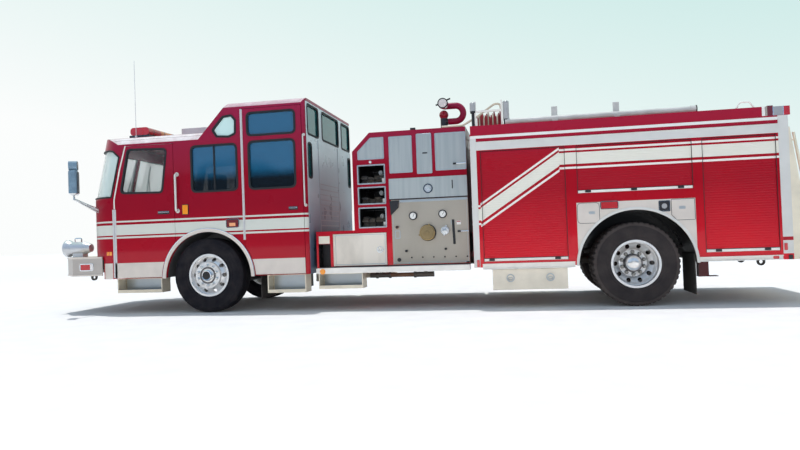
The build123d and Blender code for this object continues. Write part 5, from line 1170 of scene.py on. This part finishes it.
# Caps, columns: station, height, radius, reach, lugs
caps, small_cap = Form(), Form()
CAPS = [(caps, 3.106, 1.005, 0.102, 0.075, 3), (small_cap, 3.340, 1.023, 0.054, 0.065, 2)]
for form, x, z, radius, reach, count in CAPS:
    face = [(0.93, 0), (0.93, 0.004), (0.86, 0.006), (0.80, 0.001), (0.30, 0.002), (0.26, 0.007)]
    face = [(radius * share, reach + out) for share, out in face]
    form.turned([*face, (0.004, reach + 0.008)], x, PLATE_Y, z, "y", 36)
    for k in range(count):
        a = radians(75 + 360 / count * k)
        form.turned([(0.013, 0), (0.013, reach * 0.35), (0.009, reach * 0.4)], x + (radius + 0.006) * cos(a),
                    PLATE_Y + reach * 0.5, z + (radius + 0.006) * sin(a), "y", 12)
make("suction_cap", caps, "brass")
make("discharge_cap", small_cap, "alloy")
seat = [(0.112, 0), (0.112, 0.012), (0.104, 0.014), (0.103, 0.0)]
make("cap_seats", Form().turned(seat, 3.106, PLATE_Y, 1.005, "y", 36, closed=True), "black_plastic")

knobs, stems = Form(), Form()
DRAINS = [(2.876 + 0.149 * k, 0.681 - 0.001 * k, 0.010) for k in range(6)]
for x, z, radius in [(2.810, 0.769, 0.016), (3.340, 0.782, 0.016), (2.693, 1.092, 0.016), *DRAINS]:
    reach = 0.034 if radius > 0.012 else 0.010
    stems.disc(x, PLATE_Y, PUMP_Y + reach + 0.002, z, radius * 0.5, 10)
    knobs.turned([(radius * 0.6, 0.0), (radius, 0.003), (radius, 0.010), (radius * 0.7, 0.014)],
                 x, PUMP_Y + reach, z, "y", 16)
make("pump_knobs", knobs, "black_plastic")
make("pump_stems", stems, "chrome")
plate_frame = Form().border(rectangle(2.660, 2.730, 0.941, 1.046), 0.010, 0.002, 0.009, PLATE_Y, PUMP_Y + 0.008)
plate_frame.border(rectangle(2.640, 3.632, 0.615, 1.425), 0.012, 0.002, 0.002, PLATE_Y, PUMP_Y + 0.006)
make("pump_plate_frames", plate_frame, "panel_steel")
screws = Form()
for x, z in [(2.65 + 0.19 * k, z) for k in range(6) for z in (0.604, 1.436)]:
    screws.turned([(0.008, 0), (0.007, 0.003), (0.003, 0.004)], x, PLATE_Y, z, "y", 8)
make("panel_screws", screws, "chrome")
rails, lever_ends = Form(), Form()
for x0, x1, z in ((3.490, 3.650, 1.905), (3.518, 3.650, 1.009)):
    rails.tube([(x0, PUMP_Y + 0.030, z), (x1, PUMP_Y + 0.030, z)], 0.009, 10)
    rails.disc(x1 - 0.012, PUMP_Y + 0.002, PUMP_Y + 0.034, z, 0.011, 12)
    lever_ends.tube([(x0 - 0.012, PUMP_Y + 0.030, z), (x0 + 0.030, PUMP_Y + 0.030, z)], 0.013, 12)
make("pump_levers", rails, "chrome")
make("pump_lever_ends", lever_ends, "black_plastic")
RING = [(0.060, 0), (0.064, 0.004), (0.064, 0.008), (0.048, 0.008), (0.046, 0.002)]


def ring_pull(form, x, y, z, size):
    """A round dish with a folding handle in it."""
    form.turned([(r * size, w) for r, w in RING], x, y, z, "y", 28, closed=True)
    bar = [(-0.038, 0.004), (0.038, 0.004), (0.024, -0.028 * size), (-0.024, -0.028 * size)]
    form.tube(rounded([(x + a * size, y + 0.006, z + b) for a, b in bar], 0.01, 3), 0.0045, 8, closed=True)
    return form


make("flip_panel_ring", ring_pull(Form(), 3.131, PUMP_Y + 0.020, 1.594, 1.0), "chrome")
make("locker_latch", ring_pull(Form(), 2.448, PUMP_Y + 0.006, 0.800, 0.72), "chrome", "locker_door", own=True)
frame_round("locker_seam", "panel_steel", rectangle(1.822, 2.517, 0.612, 1.010),
            0.015, 0.003, 0.003, PUMP_Y, PUMP_Y + 0.002, body="locker_door", own=True)
lamp_bits = Form().turned([(0.018, 0), (0.018, 0.012), (0.010, 0.017)], 2.351, PUMP_Y + 0.001, 1.990, "y", 16)
make("bin_lamps", lamp_bits, "clear_lens")
boxes("module_lugs", "black_plastic", (2.91, 2.98, PUMP_Y - 0.06, PUMP_Y - 0.02, 2.393, 2.425), bevel=0.004)

slope = [(3.34, 2.408), (3.62, 2.408), (3.80, 2.500), (4.05, 2.668), (4.12, 2.660), (4.131, 2.585)]
pale_rail = Form().tube(rounded([(x, PUMP_Y - 0.02, z) for x, z in slope], 0.10, 8, False), 0.014, 12)
make("sloping_rails", pale_rail, "pale_tube")
PIPE_Y, PIPE_Z = 0.780, 0.440
pipes, dark_pipes = Form(), Form()
PIPES = [(pipes, 2.510, 2.865, 0.030), (dark_pipes, 2.247, 2.512, 0.033), (dark_pipes, 2.863, 3.137, 0.036)]
for form, x0, x1, radius in PIPES:
    form.tube([(x0, PIPE_Y, PIPE_Z), (x1, PIPE_Y, PIPE_Z)], radius, 14)
for x in (2.33, 2.51, 2.86):
    dark_pipes.turned([(0.044, 0), (0.044, 0.030)], x, PIPE_Y, PIPE_Z, "x", 14)
for x in (2.40, 3.02):
    dark_pipes.box(x - 0.02, x + 0.02, 0.745, 0.815, 0.46, 0.585)
make("pump_pipes", pipes, "rust")
make("pump_pipe_ends", dark_pipes, "chassis_black")
board_lamp = [(0.038, 0), (0.038, 0.006), (0.026, 0.014), (0.004, 0.016)]
make("board_lamps", Form().turned(board_lamp, 1.688, BODY_Y, 0.532, "y", 20), "amber_lens")
tail_marker = Form().plate(rounded(rectangle(7.255, 7.317, 0.541, 0.577), 0.012), BODY_Y + 0.008, BODY_Y + 0.016)
make("tail_side_markers", tail_marker, "red_lens")
boxes("tail_blocks", "black_plastic", (7.424, 7.468, BODY_Y + 0.008, BODY_Y + 0.014, 0.532, 0.584), bevel=0.002)
# A black strip at the foot of the pump panel: the gap there, with painted shade over the board
boxes("board_line", "gasket", (1.598, 3.660, PUMP_Y + 0.001, PUMP_Y + 0.030, 0.5745, 0.586))
STEP_WELLS = [
    (-1.390, -0.690, 0.300, 0.505, CAB_Y - 0.006), (0.890, 1.440, 0.260, 0.505, CAB_Y - 0.006),
    (1.630, 2.240, 0.300, 0.503, BODY_Y),
]
boxes("step_backs", "panel_steel", *[(x0 + 0.016, x1 - 0.016, face - 0.212, face - 0.206, z0 + 0.012, z1 - 0.008)
                                     for x0, x1, z0, z1, face in STEP_WELLS])

# Body: slatted shutters, bottom bars with a strip of painted shadow above each, and latches, columns: front, rear,
# bottom, stations of the latches
OPENINGS = [
    (3.850, 4.900, 0.605, (3.950, 4.773)), (5.045, 6.400, 1.425, (5.170, 5.717, 6.262)),
    (6.520, 7.340, 0.640, (6.660, 7.204)),
]
HEAD_Z = 2.020
SLAT = 0.030
SLAT_GAP = 0.003
CURTAIN_Y = BODY_Y - 0.0135
CURTAIN_BACK_Y = CURTAIN_Y - 0.018


def slats(form, x0, x1, z0, z1):
    """A curtain's profile: a shallow bow for each slat and a groove between them."""
    line = []
    for z in [z0 + k * SLAT for k in range(int((z1 - z0) / SLAT))]:
        line += [(CURTAIN_Y - 0.0015, z), (CURTAIN_Y, z + SLAT_GAP), (CURTAIN_Y + 0.0007, z + SLAT / 2),
                 (CURTAIN_Y, z + SLAT - SLAT_GAP)]
    line += [(CURTAIN_Y - 0.002, z1), (CURTAIN_BACK_Y, z1), (CURTAIN_BACK_Y, z0)]
    form.loops([[(x, y, z) for y, z in line] for x in (x0, x1)])


curtain, bars, latches, edges = Form(), Form(), Form(), Form()
for x0, x1, z0, stations in OPENINGS:
    slats(curtain, x0 + 0.001, x1 - 0.001, z0 + 0.040, HEAD_Z - 0.004)
    bars.box(x0 + 0.002, x1 - 0.002, CURTAIN_BACK_Y, CURTAIN_Y + 0.011, z0 + 0.001, z0 + 0.034)
    # Painted shadow: a black strip above the bottom bar
    latches.box(x0 + 0.002, x1 - 0.002, CURTAIN_BACK_Y, CURTAIN_Y + 0.006, z0 + 0.034, z0 + 0.041)
    for x in stations:
        latches.box(x - 0.035, x + 0.035, CURTAIN_Y + 0.011, CURTAIN_Y + 0.019, z0 + 0.006, z0 + 0.038)
    for x in (x0, x1):
        edges.box(x - 0.003, x + 0.003, BODY_Y - 0.004, BODY_Y + 0.0015, z0, HEAD_Z)
    edges.box(x0, x1, BODY_Y - 0.004, BODY_Y + 0.0015, HEAD_Z - 0.003, HEAD_Z + 0.003)
make("side_curtains", curtain, "body_paint", sharp=20)
make("curtain_bars", bars, "white_paint", bevel=0.003)
make("curtain_latches", latches, "black_plastic", bevel=0.003)
make("opening_edges", edges, "gasket")
rear_curtain = Form()
for z in [1.125 + k * SLAT for k in range(17)]:
    rear_curtain.box(-0.448, 0.448, BODY_REAR - 0.022, BODY_REAR - 0.005, z + 0.002, z + SLAT - 0.002)
make("rear_curtain", rear_curtain.facing_rear(), "panel_steel", sides=(1,), bevel=0.003,
     replaces=("roll_up_shutters",))
rear_bar = Form().box(-0.448, 0.448, BODY_REAR - 0.024, BODY_REAR + 0.004, 1.082, 1.122)
make("rear_curtain_bar", rear_bar.facing_rear(), "alloy", sides=(1,), bevel=0.003)

BED_WALL_LOW = 2.243
boxes("upper_white_line", "white_face", (3.730, 7.370, BODY_Y, BODY_Y + 0.004, 2.190, 2.225))
boxes("drip_strip", "body_post", (3.797, 7.370, BODY_Y, BODY_Y + 0.012, 2.035, 2.145),
      (3.797, 7.370, BODY_Y + 0.012, BODY_Y + 0.020, 2.136, 2.145), bevel=0.002)
boxes("corner_posts", "body_post", (3.722, 3.800, BODY_Y, BODY_Y + 0.003, 0.532, 2.220),
      (7.372, 7.484, BODY_Y, BODY_Y + 0.003, 0.602, 2.240))
boxes("bed_wall_cap", "white_face", (7.205, 7.239, BODY_Y - 0.042, BODY_Y + 0.002, BED_WALL_LOW, 2.356),
      bevel=0.002)
boxes("body_markers", "red_lens", (3.758, 3.793, BODY_Y + 0.003, BODY_Y + 0.018, 0.538, 0.629),
      (7.381, 7.415, BODY_Y + 0.003, BODY_Y + 0.018, 0.641, 0.725), bevel=0.004)
boxes("tail_stripe", "red_paint", (7.372, 7.484, BODY_Y + 0.003, BODY_Y + 0.0045, 0.758, 0.800))
boxes("tail_lamp_frames", "chrome",
      (7.326, 7.336, BODY_Y - 0.108, BODY_Y - 0.004, BED_WALL_LOW, BED_WALL_LOW + 0.100),
      (7.436, 7.446, BODY_Y - 0.112, BODY_Y - 0.002, BED_WALL_LOW, BED_WALL_LOW + 0.110), bevel=0.002)

# Fender: seams and latches of the bottle hatches, fuel door, lamp, and rings of the boxes below
FENDER_Y = BODY_Y + 0.006
BOX_FRONT_X, BOX_REAR_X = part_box("drop_door_right")[0].x - AXLE_X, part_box("drop_door_right")[1].x - AXLE_X
BOX_DOOR_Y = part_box("drop_door_right")[1].y - 0.008
seams = Form().border(rectangle(5.030, 5.296, 1.046, 1.300), 0.050, 0.002, 0.003, FENDER_Y, FENDER_Y + 0.003)
cut_corner = [(6.140, 1.300), (6.140, 1.110), (6.200, 1.044), (6.410, 1.044), (6.410, 1.300)]
seams.border(cut_corner, 0.012, 0.002, 0.003, FENDER_Y, FENDER_Y + 0.003)
make("scba_seams", seams, "gasket")
hatch_latches = Form()
for x, z in ((5.205, 1.176), (6.265, 1.196)):
    oval = rectangle(x - 0.036, x + 0.036, z - 0.016, z + 0.016)
    hatch_latches.border(oval, 0.015, 0.002, 0.004, FENDER_Y, FENDER_Y + 0.004)
    hatch_latches.plate(rounded(grow(oval, -0.006), 0.010), FENDER_Y, FENDER_Y + 0.002)
make("scba_latches", hatch_latches, "panel_steel")
box_rings = Form()
for x in (BOX_FRONT_X + 0.225, BOX_REAR_X - 0.215):
    ring_pull(box_rings, x, BOX_DOOR_Y + 0.006, 0.388, 0.80)
make("box_rings", box_rings, "panel_steel", "drop_door", own=True)
boxes("box_tabs", "gasket", *[(x - 0.025, x + 0.025, BODY_Y - 0.016, BODY_Y - 0.006, 0.500, 0.526)
                              for x in (BOX_FRONT_X + 0.30, BOX_REAR_X - 0.30)])
frame_round("fuel_frame", "chrome", rectangle(5.997, 6.124, 1.157, 1.286),
            0.012, 0.004, 0.008, FENDER_Y, FENDER_Y + 0.005)
fuel = Form().plate(rounded(rectangle(6.003, 6.118, 1.163, 1.280), 0.008), FENDER_Y, FENDER_Y + 0.002)
make("fuel_door", fuel, "black_plastic")
make("fuel_lens", Form().disc(6.060, FENDER_Y + 0.002, FENDER_Y + 0.006, 1.222, 0.032), "lamp_grey")
frame_round("fender_lamp_bezel", "chrome", rectangle(5.317, 5.510, 1.222, 1.300),
            0.012, 0.012, -0.001, FENDER_Y, FENDER_Y + 0.018, bevel=0.002)
arch_lines = [arc(5.720, 0.502, radius, 1.5, 178.5, 48) for radius in (0.691, 0.724)]
arch_rows = [[(x0, FENDER_Y, z0), (x1, FENDER_Y, z1), (x1, FENDER_Y + 0.010, z1), (x0, FENDER_Y + 0.010, z0)]
             for (x0, z0), (x1, z1) in zip(*arch_lines)]
make("fender_roll", Form().loops(arch_rows), "body_post", bevel=0.003)
cab_roll = [(x, TRIM_Y - 0.001, z) for x, z in arc(ARCH_X, ARCH_Z, 0.688, 1.5, 178.5, 40)]
make("cab_fender_roll", Form().tube(cab_roll, 0.006, 8), "chrome")

# Rear: trims, lamps and rails on the back wall
back = BODY_REAR
around, within = rectangle(-0.595, 0.595, 0.640, 1.695), rectangle(-0.455, 0.455, 1.075, 1.645)
sheet = Form().ring(around, within, back, back + 0.003)
make("rear_sheet", sheet.facing_rear(), "tread_plate", sides=(1,))
frame_round("tail_bezels", "chrome", rectangle(0.970, 1.140, 0.900, 1.400),
            0.020, 0.014, -0.001, back, back + 0.016, bevel=0.002, rear=True)
TAIL_FACES = [("tail_signals", "amber_lens", 1.238, 1.392), ("tail_reversers", "clear_lens", 0.908, 1.055)]
for piece, material, z0, z1 in TAIL_FACES:
    lamp_face = Form().plate(rounded(rectangle(0.978, 1.132, z0, z1), 0.02), back + 0.020, back + 0.024)
    make(piece, lamp_face.facing_rear(), material)

# Top, on the left only: ribs and end caps of the suction hose, hoop and pole lamps
LEFT = {"sides": (-1,)}
SUCTION_Y, SUCTION_Z = BODY_Y - 0.120, 2.402
ribs = Form()
for k in range(54):
    ribs.turned([(0.0375, 0), (0.0392, 0.008), (0.0375, 0.016)], 4.262 + 0.0403 * k, SUCTION_Y, SUCTION_Z, "x", 20)
make("suction_ribs", ribs, "suction_shell", **LEFT)
ends = Form()
for x in (4.163, 6.492):
    ends.turned([(0.030, 0), (0.050, 0.004), (0.050, 0.016), (0.030, 0.020)], x, SUCTION_Y, SUCTION_Z, "x", 24)
make("suction_caps", ends, "black_plastic", **LEFT)
hoop = [(x, BODY_Y - 0.03, z) for x, z in ((6.93, 2.357), (6.98, 2.430), (7.08, 2.430), (7.13, 2.357))]
make("tail_hoop", Form().tube(rounded(hoop, 0.03, 4, False), 0.010, 8), "white_paint", **LEFT)
# Columns: station, top of the foot, top of the glass
POLE_LAMPS = [(3.770, 2.565, 2.681), (4.196, 2.437, 2.672)]
POLE_Y, POLE_FOOT_Z = 1.085, 2.335
lamp_heads, lamp_feet = Form(), Form()
for x, neck, top in POLE_LAMPS:
    tall = neck - POLE_FOOT_Z
    lamp_feet.turned([(0.020, 0), (0.020, tall - 0.03), (0.036, tall - 0.025), (0.036, tall)],
                     x, POLE_Y, POLE_FOOT_Z, "z", 16)
    lamp_heads.turned([(0.040, 0), (0.040, top - neck - 0.012), (0.030, top - neck)], x, POLE_Y, neck, "z", 24)
make("pole_lamps", lamp_heads, "lamp_grey", **LEFT)
make("pole_lamp_feet", lamp_feet, "black_plastic", **LEFT)

# Monitor nozzle, pointing to the left at rest
BARREL = {"body": "monitor_barrel", "sides": (-1,)}
NOZZLE_X, NOZZLE_TIP, NOZZLE_Z = 3.280, 0.260, 2.870
nozzle = [(0.061, 0), (0.061, 0.006), (0.046, 0.010), (0.010, 0.008)]
make("nozzle_face", Form().turned(nozzle, NOZZLE_X, NOZZLE_TIP, NOZZLE_Z, "y", 28), "white_face", **BARREL)
nozzle = [(0.062, 0), (0.075, 0.002), (0.075, 0.014), (0.062, 0.014)]
nozzle = Form().turned(nozzle, NOZZLE_X, NOZZLE_TIP - 0.004, NOZZLE_Z, "y", 28, True)
for x0, z0, x1, z1 in ((-0.070, -0.010, -0.105, -0.018), (0.055, 0.045, 0.110, 0.066)):
    nozzle.tube([(NOZZLE_X + x0, 0.230, NOZZLE_Z + z0), (NOZZLE_X + x1, 0.230, NOZZLE_Z + z1)], 0.012, 8)
make("nozzle_ring", nozzle, "black_plastic", **BARREL)


# The photograph's viewpoint
VIEW_PLACE = Vector((1.6053, -9.69995, 0.97305))
VIEW_YAW = radians(10.7535)
VIEW_PITCH = radians(0.9611)
VIEW_ROLL = radians(2.0954)
ahead = Vector((-sin(VIEW_YAW) * cos(VIEW_PITCH), cos(VIEW_YAW) * cos(VIEW_PITCH), sin(VIEW_PITCH)))
level = Vector((cos(VIEW_YAW), sin(VIEW_YAW), 0))
upright = level.cross(ahead)
right = cos(VIEW_ROLL) * level - sin(VIEW_ROLL) * upright
up = cos(VIEW_ROLL) * upright + sin(VIEW_ROLL) * level
camera = bpy.data.objects.new("camera", bpy.data.cameras.new("camera"))
camera.data.lens = 29.616
camera.data.sensor_width = 36
camera.matrix_world = Matrix((
    (right.x, up.x, -ahead.x, VIEW_PLACE.x),
    (right.y, up.y, -ahead.y, VIEW_PLACE.y),
    (right.z, up.z, -ahead.z, VIEW_PLACE.z),
    (0, 0, 0, 1),
))
bpy.context.scene.collection.objects.link(camera)
bpy.context.scene.camera = camera
bpy.context.scene.view_settings.view_transform = "Standard"


# Floor, sky and lamps
def pale_floor():
    n = Nodes("pale_floor")
    far = n.root(n.plus(n.power(n.x, 2.0), n.power(n.y, 2.0)))
    ground = n.mix(n.ramp(n.noise(3, 8), 0.3, 0.7), (0.82, 0.82, 0.81), (0.87, 0.87, 0.86))
    shade = n.mix(n.ramp(far, 12, 45), ground, (0.90, 0.91, 0.91))
    return n.set(color=shade, rough=0.95, specular=0.1)


floor_mesh = bpy.data.meshes.new("floor")
FLOOR_HALF = 90
CORNERS = [(FLOOR_HALF * x, FLOOR_HALF * y, 0) for x, y in ((-1, -1), (1, -1), (1, 1), (-1, 1))]
floor_mesh.from_pydata(CORNERS, [], [(0, 1, 2, 3)])
floor = bpy.data.objects.new("floor", floor_mesh)
floor_mesh.materials.append(pale_floor())
bpy.context.scene.collection.objects.link(floor)

# Soft daylight, a pale backdrop for camera, gloss and glass, and a dark far edge that only gloss shows
sky = Nodes("sky", bpy.data.worlds, "Generated")
bpy.context.scene.world = sky.owner
ray = sky.tree.nodes.new("ShaderNodeLightPath").outputs
SMOOTH = "SMOOTHSTEP"
daylight = sky.mix(sky.ramp(sky.z, 0.0, 0.8, kind=SMOOTH), (0.17, 0.19, 0.24), (0.48, 0.58, 0.70))
lean = sky.plus(sky.times(sky.z, 1.9), sky.times(sky.x, 0.5), clamp=True)
backdrop = sky.mix(lean, (0.97, 0.985, 0.98), (0.50, 0.78, 0.75))
hidden = sky.less(1.0, ray["Is Camera Ray"])
behind = sky.times(sky.ramp(sky.y, -0.05, -0.45, kind=SMOOTH), hidden)
backdrop = sky.mix(behind, backdrop, (0.34, 0.53, 0.80))
ragged = sky.tree.nodes.new("ShaderNodeTexNoise")
ragged.inputs["Scale"].default_value = 14
sky.link(sky.place, ragged.inputs["Vector"])
height = sky.plus(sky.z, sky.times(ragged.outputs["Fac"], 0.06))
far_edge = sky.times(sky.ramp(height, 0.150, 0.132, kind=SMOOTH), sky.ramp(sky.z, -0.02, 0.0, kind=SMOOTH))
backdrop = sky.mix(sky.times(far_edge, sky.times(hidden, 0.9)), backdrop, (0.020, 0.026, 0.032))
shown = sky.most(sky.most(ray["Is Camera Ray"], ray["Is Glossy Ray"]), ray["Is Transmission Ray"])
light = sky.tree.nodes["Background"].inputs
sky.link(sky.mix(shown, daylight, backdrop), light["Color"])
light["Strength"].default_value = 1.0


def lamp(name, place, target, size, power, color=(1, 1, 1)):
    data = bpy.data.lights.new(name, "AREA")
    data.shape = "RECTANGLE"
    data.size, data.size_y = size
    data.energy = power
    data.color = color
    thing = bpy.data.objects.new(name, data)
    thing.location = place
    thing.rotation_euler = (Vector(target) - Vector(place)).to_track_quat("-Z", "Y").to_euler()
    thing.visible_camera = thing.visible_glossy = False
    bpy.context.scene.collection.objects.link(thing)


def sun(name, travel, power, spread, color):
    data = bpy.data.lights.new(name, "SUN")
    data.energy = power
    data.angle = radians(spread)
    data.color = color
    thing = bpy.data.objects.new(name, data)
    thing.rotation_euler = Vector(travel).to_track_quat("-Z", "Y").to_euler()
    bpy.context.scene.collection.objects.link(thing)


sun("noon", (0.06, -0.13, -1.0), 2.3, 1.2, (1, 0.98, 0.95))
lamp("left_fill", (-1, -16, 1.5), (0, 0, 1.5), (14, 2.4), 570, (1, 0.99, 0.96))
lamp("right_fill", (1, 16, 1.5), (0, 0, 1.5), (14, 2.4), 450)
lamp("front_fill", (-17, 0, 1.5), (0, 0, 1.5), (5, 2.4), 250)
lamp("rear_fill", (17, 0, 1.5), (0, 0, 1.5), (5, 2.4), 250)
